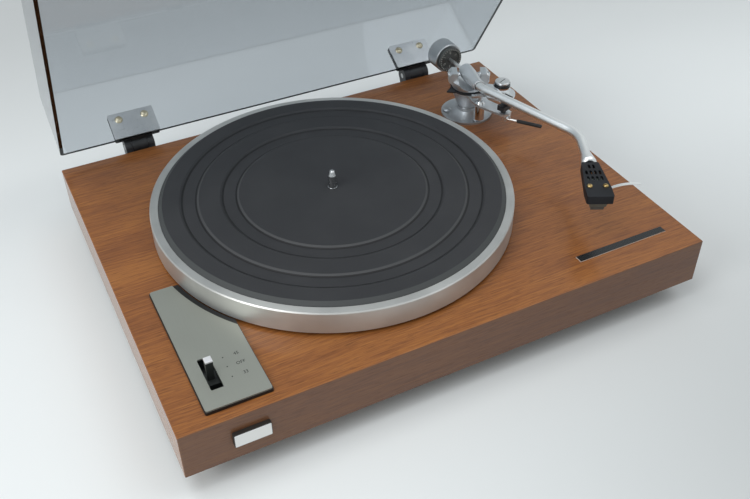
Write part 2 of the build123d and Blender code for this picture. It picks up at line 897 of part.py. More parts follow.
def make_arm_base():
    """Flared foot of the tonearm, turned with a hollow sweep from its edge up to the post."""
    edge = deck + flange_edge
    shoulder = post_top - 3.0
    bore = pivot_stem_radius + free
    sweep_line = ThreePointArc(
        (flange_radius, edge),
        (post_radius + 0.28 * (flange_radius - post_radius), edge + 0.22 * (shoulder - edge)),
        (post_radius, shoulder),
    )
    lines = Polyline((post_radius, shoulder), (post_radius, post_top), (bore, post_top), (bore, deck),
                     (flange_radius, deck), (flange_radius, edge))
    foot = revolve(Plane.XZ * make_face(sweep_line + lines), Axis.Z)
    foot = Pos(pivot_x, pivot_y, 0) * foot
    seat = rod(screw_head_radius + snug, edge, post_top)
    for place in arm_screws_at(0):
        foot -= place * (seat + rod(screw_radius + snug, deck, edge))
    return foot


def make_arm_pillar():
    """Pillar above the post: a recessed neck and a cone that widens to the bracket."""
    bore = pivot_stem_radius + free
    cone = turned(
        (bore, post_top), (groove_radius, post_top), (groove_radius, cone_bottom),
        (post_radius, cone_bottom), (post_radius + 0.6, cone_bottom + 1.2), (cone_top_radius, cone_top),
        (bore, cone_top),
    )
    return Pos(pivot_x, pivot_y, 0) * cone


def make_arm_bracket():
    """Bracket plate under the arm: hub, front tongue and the lobe of the anti-skate control."""
    hub = Pos(pivot_x, pivot_y) * Circle(bracket_hub_radius)
    root = Pos(pivot_x, pivot_y) * Circle(bracket_hub_radius * 0.8)
    knee = Pos(*bracket_knee) * Circle(bracket_knee_radius)
    tip = Pos(*bracket_tip) * Circle(bracket_tip_radius)
    lobe = Pos(*bracket_lobe) * Circle(bracket_lobe_radius)
    neck = Pos(pivot_x, pivot_y) * Circle(bracket_neck_radius)
    tongue = make_hull(neck.edges() + knee.edges()) + make_hull(knee.edges() + tip.edges())
    outline = hub + tongue + make_hull(root.edges() + lobe.edges())
    sleeve = lift_centre()
    outline -= Pos(pivot_x, pivot_y) * Circle(pivot_stem_radius + free)
    outline -= Pos(sleeve.X, sleeve.Y) * Circle(lift_neck_radius)
    plate = Pos(0, 0, cone_top) * extrude(outline, bracket_thickness)
    lug_low = -cue_below_bracket - cue_hub_radius
    lug = block((-cue_lug / 2, cue_lug / 2), (-cue_lug, cue_lug), (lug_low, 0))
    lug -= Pos(0, 0, -cue_below_bracket) * Rot(0, 90, 0) * Cylinder(cue_pin_radius + free, 4 * cue_lug)
    return plate + cue_frame(cone_top) * Pos(-cue_lug / 2 - cue_hub_width / 2 - free, 0, 0) * lug


def make_pivot_disc():
    """Dark disc on the bracket, with its pointer to the left."""
    plate = Circle(disc_radius)
    pointer = make_face(Polyline((-disc_pointer, 0), (0, disc_radius), (0, -disc_radius), close=True))
    outline = plate + pointer - Circle(pivot_stem_radius + free)
    return Pos(pivot_x, pivot_y, bracket_top) * extrude(outline, disc_thickness)


def make_arm_rest():
    """Arm rest: a post and a cradle that is open above and on the platter's side."""
    floor_top = arm_z - tube_radius - rest_drop
    floor_low = floor_top - rest_floor
    inside = tube_radius + rest_side_gap
    profile = Polyline(
        (-tube_radius - 0.6, floor_low), (inside, floor_low), (inside + rest_wall, floor_low + 1.5),
        (inside + rest_wall, floor_top + rest_side_height), (inside, floor_top + rest_side_height + 1.2),
        (inside, floor_top), (-tube_radius - 0.6, floor_top), close=True,
    )
    place = straight_start() + heading(straight_heading) * rest_along
    side = heading(straight_heading + 90)
    section = Plane(origin=place, x_dir=side, z_dir=heading(straight_heading))
    cradle = extrude(section * make_face(profile), rest_length / 2, both=True)
    post = rod(rest_post_radius, bracket_top, floor_low, place.X, place.Y)
    return cradle + post


def make_skate_base():
    base = turned(
        (0, 0), (skate_base_radius, 0), (skate_base_radius, 1.4), (skate_neck_radius, skate_base_height * 0.5),
        (skate_neck_radius + 0.8, skate_base_height), (0, skate_base_height),
    )
    return Pos(*bracket_lobe, bracket_top) * base


def make_skate_ring():
    low = bracket_top + skate_base_height + free
    return rod(skate_ring_radius, low, low + skate_ring_height, *bracket_lobe)


def make_skate_knob():
    low = bracket_top + skate_base_height + free + skate_ring_height
    knob = rod(skate_knob_radius, low, low + skate_knob_height, *bracket_lobe)
    return fillet(knob.edges().sort_by(Axis.Z)[-1], 0.7)


# Tonearm


def bearing_frame():
    """Frame at the arm's pivot whose X axis is the bearing axis of the up and down motion."""
    return Pos(pivot_x, pivot_y, arm_z) * Rot(0, 0, -bearing_skew)


def make_yoke():
    """Yoke that carries the arm: two cheeks on a rounded bowl, turning on a stem in the pillar."""
    low = yoke_bottom - arm_z
    bowl = turned(
        (0, low), (yoke_foot_radius, low), (yoke_foot_radius + 0.8, low + 0.8),
        (yoke_bowl_radius, low + yoke_bowl_height * 0.7), (yoke_bowl_radius, low + yoke_bowl_height),
        (0, low + yoke_bowl_height),
    )
    half_top = yoke_half_width - yoke_shoulder
    right = [(yoke_bowl_radius * 0.8, low + 2), (yoke_half_width, low + yoke_bowl_height),
             (yoke_half_width, yoke_top - yoke_shoulder), (half_top, yoke_top)]
    cheeks = Polyline(*right, *[(-x, z) for x, z in reversed(right)], close=True)
    fork = extrude(Plane.XZ * make_face(cheeks), yoke_depth / 2, both=True)
    fork = fillet(fork.edges().filter_by(Axis.Z), 2.0)
    body = bowl + fork
    open_top = Polyline((-yoke_gap, yoke_top), (-yoke_gap, 0), (yoke_gap, 0), (yoke_gap, yoke_top), close=True)
    channel = make_face(open_top) + Ellipse(yoke_gap, yoke_channel)
    body -= extrude(Plane.XZ * channel, 2 * yoke_bowl_radius, both=True)
    for side in (-1, 1):
        hole = Cylinder(pivot_screw_radius + snug, yoke_half_width)
        body -= Pos(side * yoke_half_width, 0, 0) * Rot(0, 90, 0) * hole
    stem = rod(pivot_stem_radius, low - pivot_stem_length, low)
    return bearing_frame() * (body + stem)


def make_pivot_screws():
    """Bearing screws with rounded ends, one in each cheek of the yoke."""
    outer = yoke_half_width + 0.8
    inner = collar_radius + 1.2
    side_screw = turned(
        (0, inner), (pivot_screw_radius * 0.6, inner), (pivot_screw_radius, inner + 1.2),
        (pivot_screw_radius, outer - 0.4), (pivot_screw_radius - 0.4, outer), (0, outer),
    )
    return [bearing_frame() * Rot(0, side * 90, 0) * side_screw for side in (-1, 1)]


def first_arc():
    """First bend of the arm in plan, from the front of the collar."""
    start = Vector(pivot_x, pivot_y, 0) + heading(front_heading) * collar_length
    return JernArc(start, heading(front_heading), first_bend, straight_heading - front_heading)


def straight_start():
    return first_arc() @ 1


def arm_line():
    """Line of the arm in plan: a bend, a straight run, the bend back and the end of the tube."""
    first = first_arc()
    run = Line(first @ 1, first @ 1 + heading(straight_heading) * tube_straight)
    second = JernArc(run @ 1, heading(straight_heading), second_bend, shell_heading - straight_heading)
    last = Line(second @ 1, second @ 1 + heading(shell_heading) * tube_end)
    return Wire([first, run, second, last])


def make_arm_tube():
    path = arm_line()
    ring = Circle(tube_radius) - Circle(tube_radius - tube_wall)
    section = Plane(origin=path @ 0, z_dir=heading(front_heading))
    return Pos(0, 0, arm_z) * sweep(section * ring, path=path)


def rear_frame(distance):
    """Frame on the arm's rear axis, at a distance behind the pivot."""
    back = Vector(pivot_x, pivot_y, arm_z) + heading(rear_heading) * distance
    return along(rear_heading, back.X, back.Y, arm_z)


def make_arm_collar():
    """Pivot block of the arm: a turned sleeve, tapered down to the tube."""
    lip_end = collar_length + collar_lip
    lip_bore = tube_radius + collar_lip_gap
    sleeve = turned(
        (0, -collar_back), (collar_radius - 1, -collar_back), (collar_radius, 1 - collar_back),
        (collar_radius, collar_step), (collar_front_radius, lip_end - 1),
        (collar_front_radius - 0.2, lip_end), (lip_bore, lip_end), (lip_bore, collar_length),
        (0, collar_length),
    )
    sleeve = along(front_heading, pivot_x, pivot_y, arm_z) * sleeve
    return sleeve - rear_frame(0) * rod(rear_shaft_radius, rear_shaft_start, 2 * rear_shaft_end)


def make_rear_shaft():
    return rear_frame(0) * rod(rear_shaft_radius, rear_shaft_start, rear_shaft_end)


def shell_frame(distance):
    """Frame on the headshell's axis, at a distance from the end of the arm tube."""
    place = arm_line() @ 1 + heading(shell_heading) * distance
    return along(shell_heading, place.X, place.Y, arm_z)


def make_locknut():
    """Locknut of the headshell: a ring that widens towards the shell."""
    nut = turned(
        (locknut_bore, 0), (locknut_rear_radius - 0.4, 0), (locknut_rear_radius, 0.4),
        (locknut_radius, locknut_length - 3.0), (locknut_radius, locknut_length - 2.2),
        (locknut_radius - 0.7, locknut_length - 0.9), (locknut_radius - 1.8, locknut_length),
        (locknut_bore, locknut_length),
    )
    return shell_frame(0) * nut


def shell_plan(inset, start):
    """Headshell's tapered outline, with X across and Y along the shell from its rear."""
    rear = shell_rear_width / 2 - inset
    front = shell_front_width / 2 - inset
    end = shell_length - inset
    right = [(rear, start), (front, shell_taper), (front, end)]
    left = [(-x, y) for x, y in reversed(right)]
    return make_face(Polyline(*right, *left, close=True))


def shell_top_frame():
    """Upright frame on the headshell's top, at its rear end, with Y towards the front."""
    place = arm_line() @ 1 + heading(shell_heading) * (locknut_length + free)
    return facing(shell_heading, place.X, place.Y, arm_z + shell_above_axis)


def shell_screw_places():
    y = shell_length - shell_screw_from_front
    return [(side * shell_screw_spread / 2, y) for side in (-1, 1)]


def make_headshell():
    """Headshell: a tapered tray, open below, with rows of oval slots and a plug for the arm."""
    shell = extrude(shell_plan(0, 0), -shell_height)
    corners = shell.edges().filter_by(Axis.Z).sort_by(Axis.Y)[-2:]
    shell = fillet(corners + shell.edges().filter_by(Axis.Z).sort_by(Axis.Y)[:2], 1.6)
    inside = extrude(shell_plan(shell_skin, shell_rear_wall), -shell_height)
    shell -= Pos(0, 0, -shell_skin) * inside
    oval = extrude(Rot(0, 0, 90) * SlotOverall(oval_length, oval_width), -2 * shell_skin)
    for row, count in oval_rows:
        for i in range(count):
            shell -= Pos((i - (count - 1) / 2) * oval_pitch, row, 0) * oval
    for x, y in shell_screw_places():
        shell -= Pos(x, y, 0) * rod(shell_screw_radius + snug, -2 * shell_skin, 0)
    plug = Pos(0, 0, -shell_above_axis) * Rot(90, 0, 0) * rod(plug_radius, -2, locknut_length - 0.5)
    plug &= block((-plug_radius, plug_radius), (-locknut_length, shell_rear_wall), (-shell_height, 0))
    half_gap = finger_width / 2 + free
    middle = shell_length - shell_screw_from_front
    shell -= block((-shell_front_width, 0), (middle - half_gap, middle + half_gap), (-shell_height, -shell_skin))
    return shell_top_frame() * (shell + plug)


def make_shell_screws():
    """Screws of the cartridge; one of them also holds the finger lift."""
    length = shell_skin + finger_thickness + shell_screw_grip
    fastener = screw(length, shell_screw_radius, shell_screw_head, shell_screw_head_height)
    return [shell_top_frame() * Pos(x, y, 0) * fastener for x, y in shell_screw_places()]


def cartridge_top():
    return -shell_skin - finger_thickness


def make_cartridge():
    """Cartridge body under the headshell, with a sloping front and a pad level with the finger lift."""
    low = cartridge_top() - cartridge_height
    front = shell_length - shell_skin - free
    rear = front - cartridge_length
    side = Polyline(
        (rear, cartridge_top()), (front, cartridge_top()), (front, low + cartridge_height * 0.45),
        (front - cartridge_slope, low), (rear + 2.0, low), (rear, low + 3.0), close=True,
    )
    section = Plane(origin=(0, 0, 0), x_dir=(0, 1, 0), z_dir=(1, 0, 0))
    body = extrude(section * make_face(side), cartridge_width / 2, both=True)
    y = shell_length - shell_screw_from_front
    body += block((shell_screw_spread / 4, cartridge_width / 2), (y - finger_tab, y + finger_tab),
                  (cartridge_top(), -shell_skin))
    hole = rod(shell_screw_radius + snug, cartridge_top() - 1.5 * shell_screw_grip, 0)
    for x, y in shell_screw_places():
        body -= Pos(x, y, 0) * hole
    return shell_top_frame() * body


def make_stylus():
    """Stylus holder with its thin cantilever and the tip."""
    top = cartridge_top() - cartridge_height
    tip = stylus_tip - arm_z - shell_above_axis
    front = shell_length - shell_skin - free - cartridge_slope
    rear = front - stylus_length
    middle = front - stylus_middle
    holder_low = top - stylus_height
    side = Polyline(
        (rear, top), (front, top), (front - 1, holder_low), (rear, holder_low), close=True,
    )
    section = Plane(origin=(0, 0, 0), x_dir=(0, 1, 0), z_dir=(1, 0, 0))
    holder = extrude(section * make_face(side), stylus_width / 2, both=True)
    root = Vector(0, middle - 2, holder_low + 0.6)
    end = Vector(0, middle + 6, tip + 0.8)
    lean = end - root
    lever = Plane(origin=root, z_dir=lean) * rod(0.35, 0, lean.length)
    point = Pos(0, end.Y - 0.3, tip) * turned((0, 0), (0.4, 1.2), (0, 1.2))
    return shell_top_frame() * (holder + lever + point)


def make_finger_lift():
    """Finger lift: a tab under the headshell's top and a bowed strip that comes out of its side."""
    y = shell_length - shell_screw_from_front
    screw_x = shell_screw_spread / 2
    tab = block((screw_x - finger_tab, screw_x + shell_screw_radius), (-finger_tab, finger_tab),
                (0, finger_thickness))
    reach = shell_front_width / 2
    neck = block((screw_x, reach), (-finger_width / 2, finger_width / 2), (0, finger_thickness))
    start = (reach, 0)
    middle = (reach + finger_length * 0.55, finger_rise)
    end = (reach + finger_length, finger_rise * 0.9)
    upper = ThreePointArc(*[(x, z + finger_thickness) for x, z in (start, middle, end)])
    lower = ThreePointArc(start, middle, end)
    sides = Line(lower @ 1, upper @ 1) + Line(upper @ 0, lower @ 0)
    strip = extrude(Plane.XZ * make_face(upper + lower + sides), finger_width / 2, both=True)
    strip = fillet(strip.edges().filter_by(Axis.Z).sort_by(Axis.X)[-2:], finger_width * 0.4)
    hole = rod(shell_screw_radius + snug, 0, finger_thickness, screw_x)
    lift = mirror(tab + neck + strip - hole, about=Plane.YZ)
    return shell_top_frame() * Pos(0, y, cartridge_top()) * lift


# Counterweight


def make_weight_bush():
    low = weight_start + 1.0
    high = weight_start + weight_length - 1.0
    return rear_frame(0) * (rod(bush_radius, low, high) - rod(rear_shaft_radius + running, low, high))


def make_counterweight():
    low = weight_start
    high = weight_start + weight_length
    bore = bush_radius + running
    edge = weight_radius - weight_edge
    return rear_frame(0) * turned(
        (bore, low), (edge, low), (weight_radius, low + weight_edge), (weight_radius, high - weight_edge),
        (edge, high), (bore, high),
    )


def make_dial():
    """Tracking dial in front of the weight, with a dished face."""
    bore = rear_shaft_radius + free
    return rear_frame(0) * turned(
        (bore, dial_start + dial_hollow), (dial_radius - 3.5, dial_start + dial_hollow),
        (dial_radius - 2.5, dial_start), (dial_radius - 0.5, dial_start), (dial_radius, dial_start + 0.5),
        (dial_radius, dial_end), (bore, dial_end),
    )


# Arm lift and cue lever


def lift_centre():
    return Vector(pivot_x, pivot_y, 0) + heading(lift_heading) * lift_radius


def make_lift_sleeve():
    """Guide sleeve of the arm lift, with the damper barrel below the bracket."""
    bore = lift_rod_radius + free
    neck = lift_neck_radius - snug
    barrel_low = cone_top - lift_barrel_length
    bore_end = barrel_low + lift_barrel_floor
    sleeve = turned(
        (bore, bore_end), (0, bore_end), (0, barrel_low), (lift_sleeve_radius, barrel_low),
        (lift_sleeve_radius, cone_top), (neck, cone_top), (neck, bracket_top),
        (lift_sleeve_radius, bracket_top), (lift_sleeve_radius, bracket_top + lift_sleeve_height - 2),
        (lift_sleeve_radius - 1.5, bracket_top + lift_sleeve_height), (bore, bracket_top + lift_sleeve_height),
    )
    centre = lift_centre()
    return Pos(centre.X, centre.Y, 0) * sleeve


def make_lift_bar():
    """Curved bar under the arm tube, on the lift's rod."""
    top = arm_z - tube_radius - lift_gap
    low = top - lift_bar_thickness
    inner = lift_radius - lift_bar_width / 2
    outer = lift_radius + lift_bar_width / 2
    middle = (lift_bar_from + lift_bar_to) / 2
    spots = [heading(a) for a in (lift_bar_from, middle, lift_bar_to)]
    outside = ThreePointArc(*[s * outer for s in spots])
    inside = ThreePointArc(*[s * inner for s in spots])
    ends = Line(outside @ 0, inside @ 0) + Line(outside @ 1, inside @ 1)
    bar = Pos(pivot_x, pivot_y, low) * extrude(make_face(outside + inside + ends), lift_bar_thickness)
    centre = lift_centre()
    rod_low = cone_top - lift_barrel_length + lift_barrel_floor + lift_travel + free
    return bar + rod(lift_rod_radius, rod_low, low, centre.X, centre.Y)


def cue_frame(z):
    """Upright frame at the cue lever's pivot, with Y along the lever and X along its pin."""
    return facing(cue_heading, cue_x, cue_y, z)


def cue_wire_frame():
    """Frame along the cue lever's wire, starting at its pin."""
    lean = math.atan2(cue_rise, cue_wire_length + cue_grip_length)
    direction = Vector(0, math.cos(lean), math.sin(lean))
    return cue_frame(cone_top - cue_below_bracket) * Location(Plane(origin=(0, 0, 0), z_dir=direction))


def make_cue_lever():
    """Cue lever: hub and pin in the bracket's lug, and the wire to the grip."""
    hub = Rot(0, 90, 0) * Cylinder(cue_hub_radius, cue_hub_width)
    reach = cue_hub_width / 2 + free + cue_lug + 1
    pin = Pos(-reach / 2, 0, 0) * Rot(0, 90, 0) * Cylinder(cue_pin_radius, reach)
    wire = cue_wire_frame() * rod(cue_wire_radius, 0, cue_wire_length + cue_wire_grip)
    return cue_frame(cone_top - cue_below_bracket) * (hub + pin) + wire


def make_cue_grip():
    end = cue_wire_length + cue_grip_length
    grip = turned(
        (0, cue_wire_length + cue_wire_grip), (0, end), (cue_grip_radius - 0.6, end), (cue_grip_radius, end - 0.6),
        (cue_grip_radius, cue_wire_length + 1), (cue_wire_radius + 0.3, cue_wire_length),
        (cue_wire_radius, cue_wire_length), (cue_wire_radius, cue_wire_length + cue_wire_grip),
    )
    return cue_wire_frame() * grip


def write(name, shape):
    """Write one node, made of one solid or of a list of like solids."""
    solids = shape if isinstance(shape, list) else [shape]
    export_step(Compound(children=solids) if len(solids) > 1 else shape, f"parts/{name}.step")


pieces = {
    "plinth": make_plinth(),
    "bottom_cover": make_bottom_cover(),
    "bottom_screws": make_bottom_screws(),
    "lead_glands": make_glands(),
    "bearing_housing": make_bearing(),
    "spindle": make_spindle(),
    "platter": make_platter(),
    "platter_mat": make_mat(),
    "motor": make_motor(),
    "motor_plate": make_motor_plate(),
    "motor_grommets": make_motor_grommets(),
    "deck_screws": make_deck_screws(),
    "motor_pulley": make_pulley(),
    "drive_belt": make_belt(),
    "belt_shifter": make_belt_shifter(),
    "panel_base": make_panel_base(),
    "panel_plate": make_panel_plate(),
    "switch_frame": make_switch_frame(),
    "speed_lever": make_speed_lever(),
    "label_strip": make_label_strip(),
    "front_badge": make_front_badge(),
    "lid": make_lid(),
    "lid_clamps": make_lid_clamps(),
    "lid_screws": make_lid_screws(),
    "hinge_pins": make_hinge_pins(),
    "hinge_screws": make_hinge_screws(),
    "arm_base": make_arm_base(),
    "arm_pillar": make_arm_pillar(),
    "arm_bracket": make_arm_bracket(),
    "pivot_disc": make_pivot_disc(),
    "arm_rest": make_arm_rest(),
    "skate_base": make_skate_base(),
    "skate_ring": make_skate_ring(),
    "skate_knob": make_skate_knob(),
    "arm_yoke": make_yoke(),
    "pivot_screws": make_pivot_screws(),
    "arm_collar": make_arm_collar(),
    "arm_tube": make_arm_tube(),
    "rear_shaft": make_rear_shaft(),
    "locknut": make_locknut(),
    "headshell": make_headshell(),
    "shell_screws": make_shell_screws(),
    "cartridge": make_cartridge(),
    "stylus": make_stylus(),
    "finger_lift": make_finger_lift(),
    "weight_bush": make_weight_bush(),
    "counterweight": make_counterweight(),
    "tracking_dial": make_dial(),
    "lift_sleeve": make_lift_sleeve(),
    "lift_bar": make_lift_bar(),
    "cue_lever": make_cue_lever(),
    "cue_grip": make_cue_grip(),
}
for side, x in hinge_centres():
    pieces[f"hinge_arm_{side}"] = make_hinge_arm(x)
    pieces[f"hinge_socket_{side}"] = make_hinge_socket(x)
for corner, x, y in foot_places():
    pieces[f"foot_{corner}"] = make_foot(x, y)

os.makedirs("parts", exist_ok=True)
for name, shape in pieces.items():
    write(name, shape)
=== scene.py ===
# %% [markdown]
# # A belt-drive record player, dressed for its portrait
# The solids of the player come in ready made, each in its real place and in metres.
# This lesson gives them their finishes, adds the small marks and trim that a drawing office
# leaves out, and sets up a plain studio around them.

# %% Loading the player
import math
import bmesh
import bpy
from mathutils import Matrix, Vector


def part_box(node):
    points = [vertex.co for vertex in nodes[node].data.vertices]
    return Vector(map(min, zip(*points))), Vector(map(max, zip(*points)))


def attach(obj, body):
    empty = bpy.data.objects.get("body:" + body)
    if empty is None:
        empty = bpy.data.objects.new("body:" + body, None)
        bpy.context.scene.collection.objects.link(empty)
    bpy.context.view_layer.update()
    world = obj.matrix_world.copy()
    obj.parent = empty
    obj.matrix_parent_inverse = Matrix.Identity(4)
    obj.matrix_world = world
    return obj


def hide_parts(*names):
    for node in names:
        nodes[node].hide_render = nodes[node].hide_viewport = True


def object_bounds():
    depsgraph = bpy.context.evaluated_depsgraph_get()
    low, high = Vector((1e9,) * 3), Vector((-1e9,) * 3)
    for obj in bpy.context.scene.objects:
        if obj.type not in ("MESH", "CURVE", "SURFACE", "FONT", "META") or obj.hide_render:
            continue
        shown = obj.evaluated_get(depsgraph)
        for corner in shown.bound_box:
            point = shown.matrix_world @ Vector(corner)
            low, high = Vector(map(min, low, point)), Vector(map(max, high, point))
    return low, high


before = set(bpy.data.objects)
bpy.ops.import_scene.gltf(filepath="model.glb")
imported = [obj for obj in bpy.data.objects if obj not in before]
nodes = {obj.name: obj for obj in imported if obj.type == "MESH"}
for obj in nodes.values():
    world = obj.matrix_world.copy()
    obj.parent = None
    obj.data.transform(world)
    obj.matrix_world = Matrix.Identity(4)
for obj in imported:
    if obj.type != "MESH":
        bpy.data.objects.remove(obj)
cad_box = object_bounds()
MM = 0.001

# %% [markdown]
# ## The camera
# The photograph looks down on the player from its front left corner. A camera can be aimed with
# a constraint, but here its three directions are known, so they are written straight into its
# matrix as columns: right, up, and back towards the viewer.

# %% Camera
CAMERA_PLACE = Vector((-0.2463, -0.5715, 0.4456))
CAMERA_RIGHT = Vector((0.8922, -0.4518, -0.0076))
CAMERA_UP = Vector((0.2932, 0.5660, 0.7705))
CAMERA_BACK = Vector((-0.3438, -0.6897, 0.6374))

scene = bpy.context.scene
lens = bpy.data.cameras.new("camera")
lens.sensor_width = 36.0
lens.lens = 44.2
camera = bpy.data.objects.new("camera", lens)
camera.matrix_world = Matrix.Translation(CAMERA_PLACE) @ Matrix(
    (CAMERA_RIGHT, CAMERA_UP, CAMERA_BACK)).transposed().to_4x4()
scene.collection.objects.link(camera)
scene.camera = camera
print("camera:", round(math.degrees(lens.angle_x), 1), "degrees wide")

# %% [markdown]
# ## Shader maths in plain Python
# A finish is a tree of nodes. Adding them one by one makes long scripts, so one small class wraps
# a socket: arithmetic on it adds Math nodes, and its `node` method adds any other kind, with the
# settings first because they can change which sockets the node has.

# %% A socket that understands arithmetic
class Wire:
    """One socket of a finish's node tree."""

    def __init__(self, tree, socket=None):
        self.tree = tree
        self.socket = socket

    def node(self, kind, settings=None, inputs=None, out=0):
        made = self.tree.nodes.new("ShaderNode" + kind)
        for name, value in (settings or {}).items():
            if name == "stops":
                self.set_stops(made.color_ramp, value)
            else:
                setattr(made, name, value)
        for key, value in (inputs or {}).items():
            if isinstance(value, Wire):
                self.tree.links.new(value.socket, made.inputs[key])
            else:
                made.inputs[key].default_value = value
        return Wire(self.tree, made.outputs[out])

    @staticmethod
    def set_stops(ramp, stops):
        while len(ramp.elements) < len(stops):
            ramp.elements.new(0.5)
        for element, (place, colour) in zip(ramp.elements, stops):
            element.position = place
            element.color = (*colour, 1.0)

    def math(self, operation, *values):
        return self.node("Math", {"operation": operation}, dict(enumerate(values)))

    def __add__(self, other):
        return self.math("ADD", self, other)

    __radd__ = __add__

    def __sub__(self, other):
        return self.math("SUBTRACT", self, other)

    def __rsub__(self, other):
        return self.math("SUBTRACT", other, self)

    def __mul__(self, other):
        return self.math("MULTIPLY", self, other)

    __rmul__ = __mul__

    def __gt__(self, other):
        return self.math("GREATER_THAN", self, other)

    def __lt__(self, other):
        return self.math("LESS_THAN", self, other)

    def clipped(self, low, high):
        """Maps low..high to 0..1 with a smooth start and end."""
        ends = {0: self, 1: low, 2: high, 3: 0.0, 4: 1.0}
        return self.node("MapRange", {"interpolation_type": "SMOOTHSTEP"}, ends)

    def mixed(self, dark, light):
        """Blends two colours, with this value as the share of the second."""
        pair = {0: self, 6: dark, 7: light}
        return self.node("Mix", {"data_type": "RGBA"}, pair, out=2)


print("wire: ready")

# %% [markdown]
# ## A finish and its parts
# Every finish starts from one Principled shader. What is the same all over is set on the shader's
# own sockets; what changes over the surface is linked. Patterns read the object's own
# coordinates, so they stay on the piece when it moves.

# %% Starting a finish
def start_finish(name, settings):
    """A new material with its constant shader settings, and a wire to build its pattern with."""
    material = bpy.data.materials.new(name)
    material.use_nodes = True
    shader = material.node_tree.nodes["Principled BSDF"]
    for socket, value in settings.items():
        shader.inputs[socket].default_value = value
    return material, Wire(material.node_tree), shader


def feed(shader, socket, wire):
    wire.tree.links.new(wire.socket, shader.inputs[socket])


def place_on(wire):
    """Coordinates on the piece, in metres."""
    return wire.node("TexCoord", out="Object")


def stretched(wire, scale):
    """Coordinates that run faster along some axes, which draws a pattern out along the others."""
    return wire.node("Mapping", inputs={"Vector": place_on(wire), "Scale": scale})


def part_of(wire, vector, axis):
    """One number of a vector: 0, 1 or 2 for x, y or z."""
    return wire.node("SeparateXYZ", inputs={0: vector}, out=axis)


def facing(wire, axis):
    """How far the surface looks along an axis of the piece, from -1 to 1."""
    return part_of(wire, wire.node("TexCoord", out="Normal"), axis)


def axis_distance(wire, where):
    """Distance from the platter's axis, which is the Z axis of the frame."""
    flat = wire.node("VectorMath", {"operation": "MULTIPLY"}, {0: where, 1: (1.0, 1.0, 0.0)})
    return wire.node("VectorMath", {"operation": "LENGTH"}, {0: flat}, out="Value")


def cloud(wire, where, scale=1.0, detail=2.0, rough=0.5):
    parts = {"Vector": where, "Scale": scale, "Detail": detail, "Roughness": rough}
    return wire.node("TexNoise", inputs=parts)


def lathe_rings(wire, value, detail):
    """Noise of one number, which draws rings where that number is a radius."""
    parts = {"W": value, "Scale": 1.0, "Detail": detail}
    return wire.node("TexNoise", {"noise_dimensions": "1D"}, parts)


def raise_surface(shader, height, strength, depth):
    """Turns a pattern into small bumps."""
    bump = height.node("Bump", inputs={"Height": height, "Strength": strength, "Distance": depth})
    feed(shader, "Normal", bump)


print("finish helpers: ready")

# %% [markdown]
# ## Plain finishes: moulded plastic, rubber, paint and plated steel
# Even a plain surface isn't one flat colour: moulded plastic has a fine texture, rubber a bloom,
# plating small changes of shine. One recipe covers them, with a broad cloud for the colour and
# a fine one for the shine and the texture.

# %% Plain finishes
def plain_finish(name, dark, light, shine, grain=900.0, depth=0.00002, metal=0.0, **more):
    settings = {"Metallic": metal}
    settings.update(more)
    material, wire, shader = start_finish(name, settings)
    where = place_on(wire)
    broad = cloud(wire, where, 45.0, 3.0)
    fine = cloud(wire, where, grain, 2.0)
    feed(shader, "Base Color", broad.clipped(0.3, 0.7).mixed((*dark, 1.0), (*light, 1.0)))
    feed(shader, "Roughness", shine[0] + (shine[1] - shine[0]) * fine)
    raise_surface(shader, fine, 0.35, depth)
    return material


